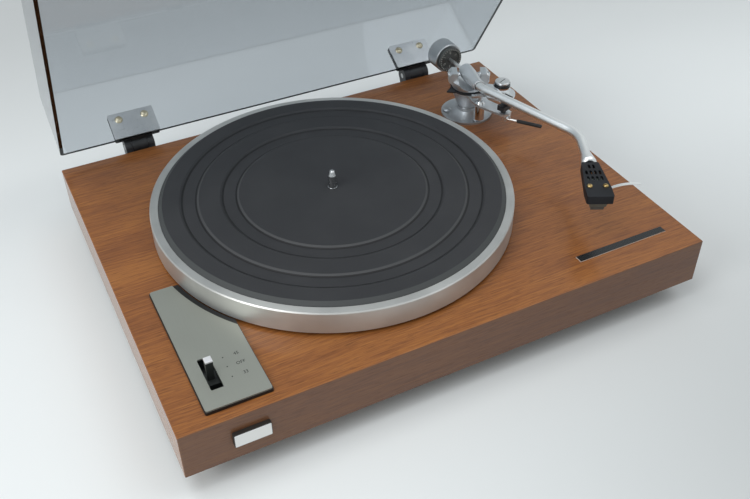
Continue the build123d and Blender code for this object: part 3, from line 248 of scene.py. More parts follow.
finishes = {
    "black plastic": plain_finish("black_plastic", (0.012, 0.013, 0.015), (0.022, 0.023, 0.026),
                                  (0.38, 0.52), 1500.0),
    "shell black": plain_finish("shell_black", (0.006, 0.0068, 0.009), (0.01, 0.0115, 0.015),
                                (0.5, 0.64), 2200.0, **{"Specular IOR Level": 0.3}),
    "dial black": plain_finish("dial_black", (0.045, 0.048, 0.046), (0.065, 0.068, 0.065),
                               (0.3, 0.45), 1500.0),
    "deep black": plain_finish("deep_black", (0.004, 0.004, 0.005), (0.007, 0.007, 0.008),
                               (0.3, 0.42), 1500.0),
    "black rubber": plain_finish("black_rubber", (0.014, 0.014, 0.015), (0.026, 0.026, 0.027),
                                 (0.62, 0.8), 1200.0),
    "motor paint": plain_finish("motor_paint", (0.03, 0.03, 0.032), (0.05, 0.05, 0.053),
                                (0.3, 0.42), 500.0),
    "hardboard": plain_finish("hardboard", (0.1, 0.058, 0.03), (0.16, 0.098, 0.055),
                              (0.7, 0.85), 1600.0, 0.00006),
    "zinc plate": plain_finish("zinc_plate", (0.42, 0.43, 0.44), (0.56, 0.56, 0.55),
                               (0.28, 0.42), 700.0, 0.00001, 1.0),
    "cast alloy": plain_finish("cast_alloy", (0.4, 0.41, 0.42), (0.52, 0.52, 0.53),
                               (0.42, 0.58), 600.0, 0.00005, 1.0),
    "arm metal": plain_finish("arm_metal", (0.7, 0.72, 0.74), (0.78, 0.8, 0.82),
                              (0.36, 0.46), 1800.0, 0.000006, 1.0),
    "base metal": plain_finish("base_metal", (0.49, 0.51, 0.53), (0.57, 0.59, 0.61),
                               (0.4, 0.5), 1800.0, 0.000006, 1.0),
    "tube metal": plain_finish("tube_metal", (0.9, 0.91, 0.91), (0.94, 0.95, 0.95),
                               (0.34, 0.37), 1500.0, 0.000001, 1.0),
    "spindle steel": plain_finish("spindle_steel", (0.5, 0.51, 0.52), (0.58, 0.59, 0.6),
                                  (0.22, 0.3), 900.0, 0.000003, 1.0),
    "chrome": plain_finish("chrome", (0.72, 0.73, 0.74), (0.8, 0.81, 0.82),
                           (0.05, 0.1), 900.0, 0.000003, 1.0),
    "weight metal": plain_finish("weight_metal", (0.44, 0.46, 0.48), (0.54, 0.56, 0.58),
                                 (0.3, 0.4), 1600.0, 0.000006, 1.0),
    "satin metal": plain_finish("satin_metal", (0.62, 0.63, 0.65), (0.72, 0.73, 0.74),
                                (0.24, 0.34), 1500.0, 0.000005, 1.0),
    "clamp metal": plain_finish("clamp_metal", (0.42, 0.43, 0.44), (0.5, 0.51, 0.51),
                                (0.24, 0.34), 1500.0, 0.000005, 1.0),
    "brass": plain_finish("brass", (0.36, 0.25, 0.1), (0.5, 0.36, 0.16),
                          (0.24, 0.38), 1100.0, 0.00001, 1.0),
    "pale brass": plain_finish("pale_brass", (0.46, 0.41, 0.3), (0.6, 0.54, 0.4),
                               (0.24, 0.38), 1100.0, 0.00001, 1.0),
    "cartridge plastic": plain_finish("cartridge_plastic", (0.085, 0.105, 0.093),
                                      (0.12, 0.14, 0.128), (0.4, 0.55), 1500.0),
    "stylus plastic": plain_finish("stylus_plastic", (0.07, 0.075, 0.07), (0.1, 0.105, 0.1),
                                   (0.35, 0.5), 1500.0),
    "mark ink": plain_finish("mark_ink", (0.012, 0.012, 0.013), (0.03, 0.03, 0.03),
                             (0.5, 0.6), 2000.0),
    "pale ink": plain_finish("pale_ink", (0.5, 0.5, 0.46), (0.62, 0.62, 0.58),
                             (0.5, 0.6), 2000.0),
}
print("plain finishes:", len(finishes))

# %% [markdown]
# ## The veneer
# The plinth is a box covered in brown veneer whose figure runs along its length, on the short
# sides too. A picture of wood would need the photograph; noise drawn out along the figure gives
# the same streaks at any size. Three scales are added: broad bands, fine streaks, and the short
# dark pores that make it read as a real timber. The front face is painted a shade darker, as
# painted shade for the weaker light that falls on it, and the lacquer is thickest on the short
# sides.

# %% Veneer
def make_veneer():
    lacquer = {"Specular IOR Level": 0.15, "Coat Roughness": 0.22}
    material, wire, shader = start_finish("veneer", lacquer)
    where = place_on(wire)
    x, y, z = [part_of(wire, where, axis) for axis in range(3)]
    across = wire.math("ABSOLUTE", facing(wire, 0)) > 0.6
    front_painted_shade = wire.math("ABSOLUTE", facing(wire, 1)) > 0.6
    length = x + across * (y - x)
    width = y + across * (x - y)

    def drawn_out(wide, lengthwise, over):
        parts = {0: length * lengthwise, 1: wide * over, 2: z * over}
        return wire.node("CombineXYZ", inputs=parts)

    swayed = width + 0.012 * cloud(wire, drawn_out(width, 5.0, 9.0))

    def streaks(lengthwise, over, detail):
        return cloud(wire, drawn_out(swayed, lengthwise, over), 1.0, detail, 0.6)

    bands = streaks(2.0, 30.0, 2.0)
    lines = streaks(34.0, 800.0, 3.0)
    pores = streaks(90.0, 1800.0, 1.0).clipped(0.56, 0.7)
    tone = 0.4 * bands + 0.6 * lines
    stops = ((0.3, (0.14, 0.046, 0.015)), (0.44, (0.225, 0.08, 0.023)),
             (0.55, (0.29, 0.108, 0.028)), (0.7, (0.38, 0.152, 0.038)))
    brown = wire.node("ValToRGB", {"stops": stops}, {0: tone})
    # Painted shade: the front face is mixed darker for the weaker light it gets.
    brown = (front_painted_shade * 0.6).mixed(brown, (0.075, 0.045, 0.035, 1.0))
    feed(shader, "Base Color", (pores * 0.5).mixed(brown, (0.1, 0.036, 0.014, 1.0)))
    feed(shader, "Roughness", 0.4 + 0.18 * lines + 0.15 * pores)
    feed(shader, "Coat Weight", 0.6 + 0.4 * across)
    raise_surface(shader, lines - 0.8 * pores, 0.25, 0.00008)
    return material


finishes["veneer"] = make_veneer()
print("veneer: made")

# %% [markdown]
# ## Turned aluminium
# The platter's rim was cut on a lathe, which leaves rings round its axis. Seen close, they are
# changes of height and shine that depend only on the distance from the axis and the height, so a
# one-dimensional noise of those two numbers draws them, on the top of the rim and on its side.

# %% Turned aluminium
def make_turned(name, dark, light, shine):
    sheen = {"Metallic": 0.85, "Anisotropic": 0.6, "Anisotropic Rotation": 0.25}
    material, wire, shader = start_finish(name, sheen)
    where = place_on(wire)
    rings = lathe_rings(wire, (axis_distance(wire, where) + part_of(wire, where, 2)) * 3600.0, 3.0)
    stain = cloud(wire, where, 26.0, 3.0)
    feed(shader, "Base Color", stain.clipped(0.35, 0.7).mixed((*dark, 1.0), (*light, 1.0)))
    feed(shader, "Roughness", shine + 0.16 * rings + 0.06 * stain)
    raise_surface(shader, rings, 0.3, 0.00003)
    return material


finishes["turned aluminium"] = make_turned(
    "turned_aluminium", (0.54, 0.54, 0.525), (0.63, 0.63, 0.61), 0.3)
print("turned aluminium: made")

# %% [markdown]
# ## The mat's rubber
# The mat is a dark grey moulding with a fine tooth that was turned into its mould, so it gets
# faint rings and a dusty bloom. Painted light makes its bevel and the edges of the channels' inner
# walls paler, and painted shade darkens the channels' corners; masks of the radius tell them
# apart.

# %% Mat rubber
MAT_BEVEL_PAINTED_LIGHT = ((139.5, 143.0),)
MAT_EDGES_PAINTED_LIGHT = ((77.2, 78.8), (110.0, 111.6))
MAT_CORNERS_PAINTED_SHADE = ((78.8, 80.4), (89.8, 91.4), (111.6, 113.2), (122.8, 124.4))


def make_mat_rubber():
    material, wire, shader = start_finish("mat_rubber", {"Specular IOR Level": 0.4})
    where = place_on(wire)
    radius = axis_distance(wire, where)
    rings = lathe_rings(wire, radius * 1900.0, 2.0)
    bloom = cloud(wire, where, 18.0, 4.0)
    tooth = cloud(wire, where, 1600.0, 2.0)
    dust = bloom.clipped(0.35, 0.75)

    def rings_of(spans):
        return sum((radius > low * MM) * (radius < high * MM) for low, high in spans)

    grey = dust.mixed((0.026, 0.027, 0.03, 1.0), (0.033, 0.034, 0.037, 1.0))
    # Painted light on the bevel and on the inner walls' edges, then painted shade in the channels'
    # corners.
    grey = rings_of(MAT_BEVEL_PAINTED_LIGHT).mixed(grey, (0.05, 0.054, 0.055, 1.0))
    grey = rings_of(MAT_EDGES_PAINTED_LIGHT).mixed(grey, (0.055, 0.057, 0.06, 1.0))
    grey = (rings_of(MAT_CORNERS_PAINTED_SHADE) * 0.85).mixed(grey, (0.004, 0.004, 0.005, 1.0))
    feed(shader, "Base Color", grey)
    feed(shader, "Roughness", 0.5 + 0.12 * rings + 0.1 * tooth)
    raise_surface(shader, rings + 0.5 * tooth, 0.3, 0.00003)
    return material


finishes["mat rubber"] = make_mat_rubber()
print("mat rubber: made")

# %% [markdown]
# ## The panel's brushed aluminium
# The control panel's plate is anodised with a soft grey-green cast and brushed from front to
# back. Noise drawn out along that direction gives the hairlines.

# %% Brushed panel
def make_panel_aluminium():
    material, wire, shader = start_finish("panel_aluminium", {"Metallic": 0.85})
    hairs = cloud(wire, stretched(wire, (2600.0, 30.0, 30.0)), 1.0, 3.0, 0.6)
    cast = cloud(wire, place_on(wire), 12.0, 2.0)
    feed(shader, "Base Color", cast.mixed((0.35, 0.36, 0.32, 1.0), (0.41, 0.42, 0.375, 1.0)))
    feed(shader, "Roughness", 0.4 + 0.16 * hairs)
    raise_surface(shader, hairs, 0.12, 0.00002)
    return material


finishes["panel aluminium"] = make_panel_aluminium()
print("panel aluminium: made")

# %% [markdown]
# ## The speed lever
# The lever is one moulding whose top is capped with bright metal. Its stalk below the cap is
# painted near black as painted shade. A mask of the height above the panel tells the cap from the
# stalk, and mixes both the colour and how metallic it is.

# %% Speed lever
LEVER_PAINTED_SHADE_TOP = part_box("speed_lever")[1].z - 1.6 * MM


def make_lever():
    material, wire, shader = start_finish("speed_lever", {})
    where = place_on(wire)
    cap_above_shade = part_of(wire, where, 2) > LEVER_PAINTED_SHADE_TOP
    fine = cloud(wire, where, 1500.0, 2.0)
    bright = fine.mixed((0.78, 0.78, 0.8, 1.0), (0.86, 0.86, 0.88, 1.0))
    # Painted shade: below the cap the stalk is painted near black.
    feed(shader, "Base Color", cap_above_shade.mixed((0.014, 0.017, 0.016, 1.0), bright))
    feed(shader, "Metallic", 0.6 * cap_above_shade)
    feed(shader, "Roughness", 0.42 + 0.1 * fine)
    return material


finishes["speed lever"] = make_lever()
print("speed lever: made")

# %% [markdown]
# ## The badge
# The badge on the front is a block with a pale lacquered face, and its sides are painted dark as
# painted shade. The surface's own normal tells the face, which looks to the front, from the sides.

# %% Badge
def make_badge():
    material, wire, shader = start_finish("badge", {})
    fine = cloud(wire, place_on(wire), 1800.0, 2.0)
    pale = fine.mixed((0.78, 0.78, 0.76, 1.0), (0.85, 0.85, 0.83, 1.0))
    face = facing(wire, 1) < -0.8
    # Painted shade: every face but the front one is painted near black.
    feed(shader, "Base Color", face.mixed((0.02, 0.017, 0.015, 1.0), pale))
    feed(shader, "Roughness", 0.4 + 0.1 * fine)
    return material


finishes["badge"] = make_badge()
print("badge: made")

# %% [markdown]
# ## The label strip
# The strip on the plinth's top is a thin metal plate with a black face, and its cut edges are
# bare. Here too the normal tells the face, which looks up, from the edges.

# %% Label strip
def make_label():
    material, wire, shader = start_finish("label_strip", {})
    edge = facing(wire, 2) < 0.6
    fine = cloud(wire, place_on(wire), 1200.0, 2.0)
    black = fine.mixed((0.008, 0.009, 0.01, 1.0), (0.014, 0.015, 0.016, 1.0))
    feed(shader, "Base Color", edge.mixed(black, (0.8, 0.8, 0.76, 1.0)))
    feed(shader, "Metallic", 0.3 * edge)
    feed(shader, "Roughness", 0.22 + 0.12 * fine)
    return material


finishes["label strip"] = make_label()
print("label strip: made")

# %% [markdown]
# ## The smoked cover
# The dust cover is clear acrylic with a grey tint all through it. Tinting the surface would make
# its edges as pale as its walls; on the real cover they are nearly black, because there the light
# has a long way through the sheet. So the shader is clear and the tint is in the volume. Light
# from a lamp is bent by such a shader and never found again, which would leave a black shadow, so
# shadow rays meet a plain tinted sheet instead.

# %% Smoked acrylic
def make_acrylic():
    material, wire, shader = start_finish("smoked_acrylic", {
        "Transmission Weight": 1.0, "IOR": 1.49, "Base Color": (0.95, 0.97, 0.98, 1.0)})
    haze = cloud(wire, place_on(wire), 30.0, 3.0)
    feed(shader, "Roughness", haze.clipped(0.45, 0.9) * 0.03)
    smoke = {"Color": (0.36, 0.41, 0.47, 1.0), "Density": 190.0}
    tint = wire.node("VolumeAbsorption", inputs=smoke)
    clear = wire.node("BsdfTransparent", inputs={"Color": (0.72, 0.75, 0.76, 1.0)})
    shadow = wire.node("LightPath", out="Is Shadow Ray")
    acrylic = Wire(wire.tree, shader.outputs[0])
    sheet = wire.node("MixShader", inputs={0: shadow, 1: acrylic, 2: clear})
    output = material.node_tree.nodes["Material Output"]
    wire.tree.links.new(sheet.socket, output.inputs["Surface"])
    wire.tree.links.new(tint.socket, output.inputs["Volume"])
    return material


finishes["smoked acrylic"] = make_acrylic()
print("smoked acrylic: made")

# %% [markdown]
# ## Which piece has which finish
# The solids keep their shapes. A table from finish to pieces is easier to check than sixty lines
# of assignments, and a last test makes sure that no piece was forgotten.

# %% Dressing the solids
WEARS = {
    "veneer": "plinth",
    "hardboard": "bottom_cover",
    "black rubber": "lead_glands motor_grommets drive_belt cue_grip weight_bush foot_front_left "
                    "foot_front_right foot_rear_left foot_rear_right",
    "zinc plate": "bottom_screws motor_plate belt_shifter hinge_pins hinge_screws",
    "cast alloy": "bearing_housing",
    "spindle steel": "spindle",
    "chrome": "pivot_screws skate_base lift_sleeve",
    "turned aluminium": "platter",
    "mat rubber": "platter_mat",
    "motor paint": "motor",
    "brass": "motor_pulley shell_screws",
    "pale brass": "lid_screws",
    "black plastic": "switch_frame pivot_disc arm_rest skate_ring "
                     "hinge_arm_left hinge_arm_right hinge_socket_left hinge_socket_right",
    "shell black": "headshell",
    "dial black": "tracking_dial",
    "deep black": "panel_base",
    "panel aluminium": "panel_plate",
    "satin metal": "skate_knob lift_bar",
    "clamp metal": "lid_clamps",
    "speed lever": "speed_lever",
    "label strip": "label_strip",
    "badge": "front_badge",
    "arm metal": "arm_bracket arm_yoke arm_collar",
    "base metal": "deck_screws arm_base arm_pillar",
    "tube metal": "arm_tube rear_shaft locknut cue_lever finger_lift",
    "weight metal": "counterweight",
    "cartridge plastic": "cartridge",
    "stylus plastic": "stylus",
    "smoked acrylic": "lid",
}
dressed = set()
for finish, names in WEARS.items():
    for name in names.split():
        slots = nodes[name].data.materials
        slots.clear()
        slots.append(finishes[finish])
        dressed.add(name)
assert dressed == set(nodes), set(nodes) - dressed
print("dressed:", len(dressed), "solids")

# %% [markdown]
# ## Adding a piece
# Most new pieces are small: marks, trim, fastener detail. Each is a mesh of its own whose object
# stays at the origin, so that its place is in its points, and each rides on the body that carries
# it.

# %% Helper for new pieces
SMOOTH_UP_TO = math.radians(35)


def add_piece(name, shape, finish, body):
    """Makes an object of a bmesh and sets it on a body."""
    mesh = bpy.data.meshes.new(name)
    shape.to_mesh(mesh)
    shape.free()
    mesh.materials.append(finishes[finish])
    mesh.polygons.foreach_set("use_smooth", [True] * len(mesh.polygons))
    mesh.set_sharp_from_angle(angle=SMOOTH_UP_TO)
    piece = bpy.data.objects.new(name, mesh)
    scene.collection.objects.link(piece)
    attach(piece, body)
    return piece


def add_mesh(shape, mesh, place):
    """Adds a mesh to a bmesh at a place."""
    mesh.transform(place)
    shape.from_mesh(mesh)
    bpy.data.meshes.remove(mesh)


print("pieces: smooth up to", round(math.degrees(SMOOTH_UP_TO)), "degrees")

# %% [markdown]
# ## Places and directions
# Most places on the player are a turn and a shift, and most of its lines are level. A few short
# functions say that in words, with angles in degrees. Level directions are measured from the
# front towards the right.

# %% Helpers for places
def turned(degrees, axis):
    return Matrix.Rotation(math.radians(degrees), 4, axis)


def level(degrees):
    """Level direction, from the front towards the right."""
    return turned(degrees, "Z").to_3x3() @ Vector((0.0, -1.0, 0.0))


def along(direction):
    """Turns the Z axis to a direction."""
    return direction.to_track_quat("Z", "Y").to_matrix().to_4x4()


def middle_of(box, z):
    """The middle of a box in plan, at a height."""
    low, high = box
    return Vector(((low.x + high.x) / 2, (low.y + high.y) / 2, z))


ARM_PIVOT = Vector((0.1819, 0.0845, 0.0165))
ARM_HEADING = -8.0
SHELL_HEADING = -26.3
print("arm: from", ARM_HEADING, "to", SHELL_HEADING, "degrees")

# %% [markdown]
# ## Simple shapes
# Three shapes come back in several pieces: flat letters, rods, and outlines that are turned once
# round an axis. A full turn ends where it began, so its seam is welded.

# %% Helpers for shapes
CAPITAL_SHARE = 0.7
WELD = 1e-7


def text_mesh(words, height, thickness):
    """Flat letters in the XY plane, centred, made a mesh at once."""
    curve = bpy.data.curves.new("letters", "FONT")
    curve.body = words
    curve.size = height / CAPITAL_SHARE
    curve.extrude = thickness / 2
    curve.align_x = "CENTER"
    curve.align_y = "CENTER"
    letters = bpy.data.objects.new("letters", curve)
    scene.collection.objects.link(letters)
    drawn = letters.evaluated_get(bpy.context.evaluated_depsgraph_get())
    mesh = bpy.data.meshes.new_from_object(drawn)
    bpy.data.objects.remove(letters)
    bpy.data.curves.remove(curve)
    return mesh


def add_rod(shape, radius, length, segments, place):
    """Adds a closed cylinder along the Z axis of a place."""
    bmesh.ops.create_cone(shape, cap_ends=True, segments=segments, radius1=radius,
                          radius2=radius, depth=length, matrix=place)


def spin_full(shape, points, edges, steps):
    """Turns an outline once round the Z axis and welds the seam."""
    bmesh.ops.spin(shape, geom=points + edges, cent=(0, 0, 0), axis=(0, 0, 1),
                   angle=2 * math.pi, steps=steps, use_merge=True)
    bmesh.ops.remove_doubles(shape, verts=shape.verts[:], dist=WELD)


print("shapes: letters, rods and turned outlines")

# %% [markdown]
# ## Marks on the control panel
# Three dots and three words are printed beside the lever: 45 at the back, OFF in the middle and
# 33 at the front. Ink is thin, so the letters are laid on the plate as very flat solids.

# %% Panel marks
MARK_ROWS = (("45", -0.1230), ("OFF", -0.1326), ("33", -0.1428))
WORD_X = -0.1325
WORD_HEIGHT = 2.7 * MM
DOT_X = -0.1424
DOT_RADIUS = 0.5 * MM
INK = 0.05 * MM
MARK_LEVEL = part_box("panel_plate")[1].z + INK / 2

marks = bmesh.new()
for word, y in MARK_ROWS:
    letters = text_mesh(word, WORD_HEIGHT, INK)
    add_mesh(marks, letters, Matrix.Translation((WORD_X, y, MARK_LEVEL)))
    add_rod(marks, DOT_RADIUS, INK, 20, Matrix.Translation((DOT_X, y, MARK_LEVEL)))
add_piece("panel_marks", marks, "mark ink", "plinth")
print("panel marks:", len(MARK_ROWS), "rows")

# %% [markdown]
# ## Marks on the tracking dial
# The dial shows the stylus force: a ring of fine ticks and a few figures. They are laid out flat
# round a centre and then stood up in front of the dial, whose axis leans a little to the left.
# The ticks lie on its rim, and the figures in its dished middle.

# %% Dial marks
DIAL_HEADING = 1.5
DIAL_HALF = 1.75 * MM
DISH_DEPTH = 1.4 * MM
TICKS = 30
TICK_RADIUS = 10.9 * MM
TICK_SIZE = (0.45 * MM, 1.5 * MM, INK, 1.0)
FIGURES = "012301"
FIGURE_RADIUS = 7.0 * MM
FIGURE_HEIGHT = 2.6 * MM

low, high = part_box("tracking_dial")
stood_up = turned(DIAL_HEADING, "Z") @ turned(90, "X")
face = (low + high) / 2 + level(DIAL_HEADING) * (DIAL_HALF + INK / 2)
on_rim = Matrix.Translation(face) @ stood_up
in_dish = Matrix.Translation(face - level(DIAL_HEADING) * DISH_DEPTH) @ stood_up

dial = bmesh.new()
for i in range(TICKS):
    tick = turned(360 * i / TICKS, "Z") @ Matrix.Translation((0.0, TICK_RADIUS, 0.0))
    bmesh.ops.create_cube(dial, size=1.0, matrix=on_rim @ tick @ Matrix.Diagonal(TICK_SIZE))
for i, figure in enumerate(FIGURES):
    turn = turned(-360 * i / len(FIGURES), "Z") @ Matrix.Translation((0.0, FIGURE_RADIUS, 0.0))
    add_mesh(dial, text_mesh(figure, FIGURE_HEIGHT, INK), in_dish @ turn)
add_piece("dial_marks", dial, "pale ink", "tracking dial")
print("dial marks:", TICKS, "ticks")

# %% [markdown]
# ## The anti-skate knob's mark
# A line cut across the knob shows its setting. The cut is filled with black paint, so a flat bar
# of ink is enough.

# %% Knob mark
KNOB_SETTING = 23
KNOB_LINE = (9.0 * MM, 0.7 * MM, INK, 1.0)

knob_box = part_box("skate_knob")
place = Matrix.Translation(middle_of(knob_box, knob_box[1].z + INK / 2))
bar = turned(KNOB_SETTING, "Z") @ Matrix.Diagonal(KNOB_LINE)
line = bmesh.new()
bmesh.ops.create_cube(line, size=1.0, matrix=place @ bar)
add_piece("knob_mark", line, "mark ink", "anti-skate knob")
print("knob mark: at", KNOB_SETTING, "degrees")

# %% [markdown]
# ## Slotted screw heads
# The brass screws of the cover and of the headshell have domed heads with a slot. The dome is half
# an outline spun round its axis. Two cuts mark the sides of the slot, and the strip of faces
# between them is pushed down.

# %% A slotted head
HEAD_OUTLINE = ((1.0, 0.0), (1.0, 0.3), (0.86, 0.62), (0.6, 0.88), (0.3, 0.98), (0.0, 1.0))
HEAD_STEPS = 32


def slotted_head(radius, height, slot_width, slot_depth):
    """A domed head on the XY plane, with its slot along Y."""
    head = bmesh.new()
    points = [head.verts.new((r * radius, 0.0, z * height)) for r, z in HEAD_OUTLINE]
    edges = [head.edges.new(pair) for pair in zip(points, points[1:])]
    spin_full(head, points, edges, HEAD_STEPS)
    for side in (-0.5, 0.5):
        bmesh.ops.bisect_plane(head, geom=head.verts[:] + head.edges[:] + head.faces[:], dist=1e-8,
                               plane_co=(side * slot_width, 0, 0), plane_no=(1, 0, 0))
    strip = [f for f in head.faces if abs(f.calc_center_median().x) < slot_width / 2]
    pushed = bmesh.ops.extrude_face_region(head, geom=strip)["geom"]
    bmesh.ops.delete(head, geom=[f for f in strip if f.is_valid], context="FACES_ONLY")
    slot_floor = [v for v in pushed if isinstance(v, bmesh.types.BMVert)]
    bmesh.ops.translate(head, verts=slot_floor, vec=(0, 0, -slot_depth))
    bmesh.ops.recalc_face_normals(head, faces=head.faces[:])
    mesh = bpy.data.meshes.new("head")
    head.to_mesh(mesh)
    head.free()
    return mesh


print("slotted head: ready")

# %% [markdown]
# ## Where the screws sit
# The cover's four screws are placed as on a closed cover and then turned with it about its hinge.
# The headshell's two lie side by side, across the line of the shell. No fitter lines up the slots
# of screws, so each head is turned by another angle.

# %% Screw heads in place
HINGE = Matrix.Translation((0.0276, 0.1769, -0.0247))
LID_OPEN = turned(-59, "X")
LID_SCREWS_X = (-158 * MM, -134 * MM, 134 * MM, 158 * MM)
LID_SCREWS_Y = -15.2 * MM
LID_SCREWS_Z = 21.0 * MM
LID_HEAD = (3.6 * MM, 1.4 * MM, 0.8 * MM, 0.6 * MM)
SHELL_SCREW_REACH = 6.35 * MM
SHELL_HEAD = (2.3 * MM, 1.6 * MM, 0.5 * MM, 0.6 * MM)
SHELL_ACROSS = level(SHELL_HEADING + 90)

lid_heads = bmesh.new()
for i, x in enumerate(LID_SCREWS_X):
    seat = Matrix.Translation((x, LID_SCREWS_Y, LID_SCREWS_Z)) @ turned(90, "X")
    turn = Matrix.Rotation(0.7 + 1.9 * i, 4, "Z")
    add_mesh(lid_heads, slotted_head(*LID_HEAD), HINGE @ LID_OPEN @ seat @ turn)
piece = add_piece("lid_screw_heads", lid_heads, "pale brass", "lid")
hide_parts("lid_screws")

screw_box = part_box("shell_screws")
seat = middle_of(screw_box, screw_box[1].z - SHELL_HEAD[1])
shell_heads = bmesh.new()
for side in (-1, 1):
    place = Matrix.Translation(seat + side * SHELL_SCREW_REACH * SHELL_ACROSS)
    turn = Matrix.Rotation(0.4 + 0.8 * side, 4, "Z")
    add_mesh(shell_heads, slotted_head(*SHELL_HEAD), place @ turn)
piece = add_piece("shell_screw_heads", shell_heads, "brass", "tonearm")
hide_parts("shell_screws")
print("slotted heads: 6")

# %% [markdown]
# ## The leads inside the headshell
# Four thin leads join the cartridge to the rear of the shell, and show dark through the slots in
# its top. Each is a straight cylinder along the shell, set just under its roof.

# %% Leads
SHELL_BACK = -level(SHELL_HEADING)
LEAD_RADIUS = 1.1 * MM
LEAD_LENGTH = 15.0 * MM
LEAD_SPACING = 2.5 * MM
LEAD_BEHIND = 13.5 * MM
LEAD_BELOW = 2.6 * MM

cartridge_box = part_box("cartridge")
middle = middle_of(cartridge_box, cartridge_box[1].z - LEAD_BELOW)
middle = middle + SHELL_BACK * (LEAD_BEHIND + LEAD_LENGTH / 2)
leads = bmesh.new()
for step in (-1.5, -0.5, 0.5, 1.5):
    place = Matrix.Translation(middle + SHELL_ACROSS * step * LEAD_SPACING)
    add_rod(leads, LEAD_RADIUS, LEAD_LENGTH, 16, place @ along(SHELL_BACK))
add_piece("shell_leads", leads, "black rubber", "tonearm")
print("leads: 4")

# %% [markdown]
# ## The bright ring of the pivot collar
# Where the collar ends, a polished ring covers the joint with the tube. It is a small square
# outline spun round the line of the arm, with its corners bevelled so that they catch the light.

# %% Collar ring
ARM_FRONT = level(ARM_HEADING)
RING_INNER = 4.6 * MM
RING_OUTER = 5.3 * MM
RING_WIDTH = 0.9 * MM
RING_BEVEL = 0.2 * MM
RING_FROM_PIVOT = 22.7 * MM

band = bmesh.new()
corners = [band.verts.new((x, 0, z)) for x, z in (
    (RING_INNER, 0), (RING_OUTER, 0), (RING_OUTER, RING_WIDTH), (RING_INNER, RING_WIDTH))]
edges = [band.edges.new((corners[i - 1], corners[i])) for i in range(4)]
spin_full(band, corners, edges, 48)
outer = [e for e in band.edges
         if all(v.co.xy.length > RING_OUTER - RING_BEVEL / 2 for v in e.verts)
         and e.verts[0].co.z == e.verts[1].co.z]
bmesh.ops.bevel(band, geom=outer, offset=RING_BEVEL, affect="EDGES", segments=2, profile=0.5,
                material=-1)
bmesh.ops.recalc_face_normals(band, faces=band.faces[:])
place = Matrix.Translation(ARM_PIVOT + ARM_FRONT * RING_FROM_PIVOT) @ along(ARM_FRONT)
bmesh.ops.transform(band, verts=band.verts[:], matrix=place)
print("collar ring:", len(band.faces), "faces")
add_piece("collar_ring", band, "chrome", "tonearm")

# %% [markdown]
# ## The arm's tube
# The solid's tube is cut into long thin triangles, which break up the light on a polished bend.
# The same tube is made again here as even rings: a circle is spun round the centre of each bend
# and drawn out along each straight, so that the shading runs smoothly from end to end.

# %% Bending and drawing a tube
BEND_STEPS = 24


def bend(shape, ring, place, heading, radius, turn):
    """Spins the end ring round a bend, and returns it with the new place and heading."""
    centre = place + level(heading + math.copysign(90, turn)) * radius
    ring = bmesh.ops.spin(shape, geom=ring, cent=centre, axis=(0, 0, 1),
                          angle=math.radians(turn), steps=BEND_STEPS)["geom_last"]
    place = centre + turned(turn, "Z").to_3x3() @ (place - centre)
    return ring, place, heading + turn


def draw_out(shape, ring, step):
    """Draws the end ring out along a straight, and returns the new end."""
    edges = [g for g in ring if isinstance(g, bmesh.types.BMEdge)]
    drawn = bmesh.ops.extrude_edge_only(shape, edges=edges)["geom"]
    points = [g for g in drawn if isinstance(g, bmesh.types.BMVert)]
    ends = [g for g in drawn if isinstance(g, bmesh.types.BMEdge) and len(g.link_faces) == 1]
    bmesh.ops.translate(shape, verts=points, vec=step)
    return points + ends


print("tube helpers:", BEND_STEPS, "steps to a bend")

# %% [markdown]
# ## The tube in place
# The path starts inside the collar. Each row of the table is the radius of a bend, its turn in
# degrees, and the straight that follows it.

# %% Smooth tube
TUBE_RADIUS = 4.0 * MM
TUBE_FROM_PIVOT = 19.5 * MM
TUBE_PATH = ((35.0 * MM, 25.0, 92.2 * MM), (30.0 * MM, -43.3, 20.2 * MM))

tube = bmesh.new()
heading = ARM_HEADING
place = ARM_PIVOT + ARM_FRONT * TUBE_FROM_PIVOT
bmesh.ops.create_circle(tube, segments=48, radius=TUBE_RADIUS,
                        matrix=Matrix.Translation(place) @ along(ARM_FRONT))
ring = tube.verts[:] + tube.edges[:]
for radius, turn, straight in TUBE_PATH:
    ring, place, heading = bend(tube, ring, place, heading, radius, turn)
    ring = draw_out(tube, ring, level(heading) * straight)
    place = place + level(heading) * straight
bmesh.ops.holes_fill(tube, edges=tube.edges[:], sides=0)
bmesh.ops.recalc_face_normals(tube, faces=tube.faces[:])
print("tube:", len(tube.faces), "faces")
piece = add_piece("smooth_tube", tube, "tube metal", "tonearm")
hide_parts("arm_tube")

# %% [markdown]
# ## The floor
# A sheet of pale paper lies under the player. Its colour is painted darker towards the back, and
# round a spot at the front right, as painted shade where less light falls.

# %% Floor
FLOOR = cad_box[0].z
FLOOR_REACH = 6.0
PAINTED_SHADE_SPOT = (0.34, -0.42, FLOOR)


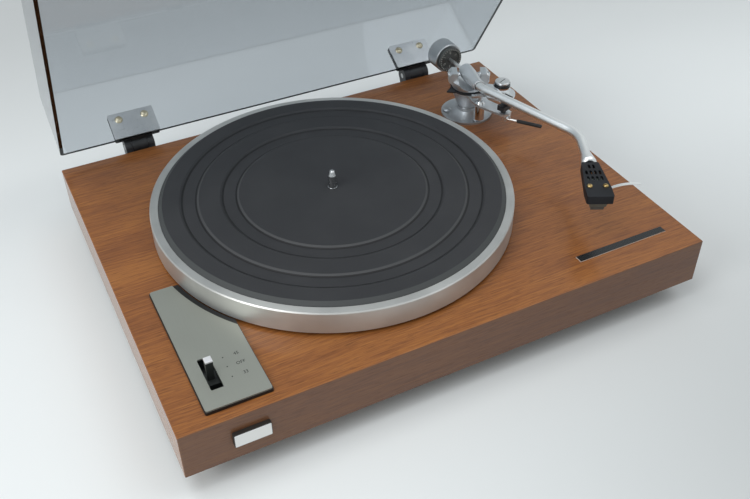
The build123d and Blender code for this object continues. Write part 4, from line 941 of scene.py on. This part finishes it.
def make_floor_finish():
    dull = {"Roughness": 0.9, "Specular IOR Level": 0.1}
    material, wire, shader = start_finish("floor_paper", dull)
    where = place_on(wire)
    ends = {0: where, 1: PAINTED_SHADE_SPOT}
    corner = wire.node("VectorMath", {"operation": "DISTANCE"}, ends, out="Value")
    # Painted shade: the paper's colour darkens towards the back and round a spot at the front
    # right.
    back_painted_shade = 0.3 * part_of(wire, where, 1).clipped(0.0, 0.65)
    corner_painted_shade = 0.34 * (1.0 - corner.clipped(0.05, 0.55))
    floor_painted_shade = back_painted_shade + corner_painted_shade + 0.02 * cloud(wire, where, 6.0, 2.0)
    feed(shader, "Base Color", floor_painted_shade.mixed((0.83, 0.865, 0.87, 1.0), (0.02, 0.022, 0.023, 1.0)))
    return material


sheet = bmesh.new()
bmesh.ops.create_grid(sheet, x_segments=1, y_segments=1, size=FLOOR_REACH,
                      matrix=Matrix.Translation((0.0, 0.0, FLOOR)))
floor_mesh = bpy.data.meshes.new("floor")
sheet.to_mesh(floor_mesh)
sheet.free()
floor_mesh.materials.append(make_floor_finish())
floor = bpy.data.objects.new("floor", floor_mesh)
scene.collection.objects.link(floor)
print("floor at", round(FLOOR, 4))

# %% [markdown]
# ## Lamps
# Two large soft lamps do most of the work, one high above the left side and one low at the front
# left. Two weaker ones on the right open up the shadows. All of them look at the middle of the
# platter, which is the origin.

# %% Lamps
LAMPS = (
    ("overhead", (-0.6, -0.05, 1.8), 1.2, 11.0),
    ("front_right", (0.75, -0.65, 1.9), 1.0, 5.0),
    ("right", (1.5, 0.07, 1.9), 1.1, 4.0),
    ("front_left", (-1.55, -0.55, 1.0), 0.9, 11.0),
)
for name, place, size, watts in LAMPS:
    light = bpy.data.lights.new(name, "AREA")
    light.shape = "DISK"
    light.size = size
    light.energy = watts
    lamp = bpy.data.objects.new(name, light)
    lamp.location = place
    lamp.rotation_euler = (-Vector(place)).to_track_quat("-Z", "Y").to_euler()
    scene.collection.objects.link(lamp)
print("lamps:", len(LAMPS))

# %% [markdown]
# ## The world
# The world gives the rest of the light. Rays that reach it straight from the camera, or off metal
# and through the cover, see a pale backdrop, while the light it casts stays plain.

# %% World
world = bpy.data.worlds.new("studio")
scene.world = world
world.use_nodes = True
sky = Wire(world.node_tree)
seen = sky.node("LightPath", out="Is Camera Ray")
for ray in ("Is Glossy Ray", "Is Transmission Ray"):
    seen = sky.math("MAXIMUM", seen, sky.node("LightPath", out=ray))
backdrop = world.node_tree.nodes["Background"]
backdrop.inputs["Strength"].default_value = 1.0
feed(backdrop, "Color", seen.mixed((0.48, 0.5, 0.51, 1.0), (0.6, 0.64, 0.65, 1.0)))
scene.view_settings.view_transform = "Standard"
print("world: made")
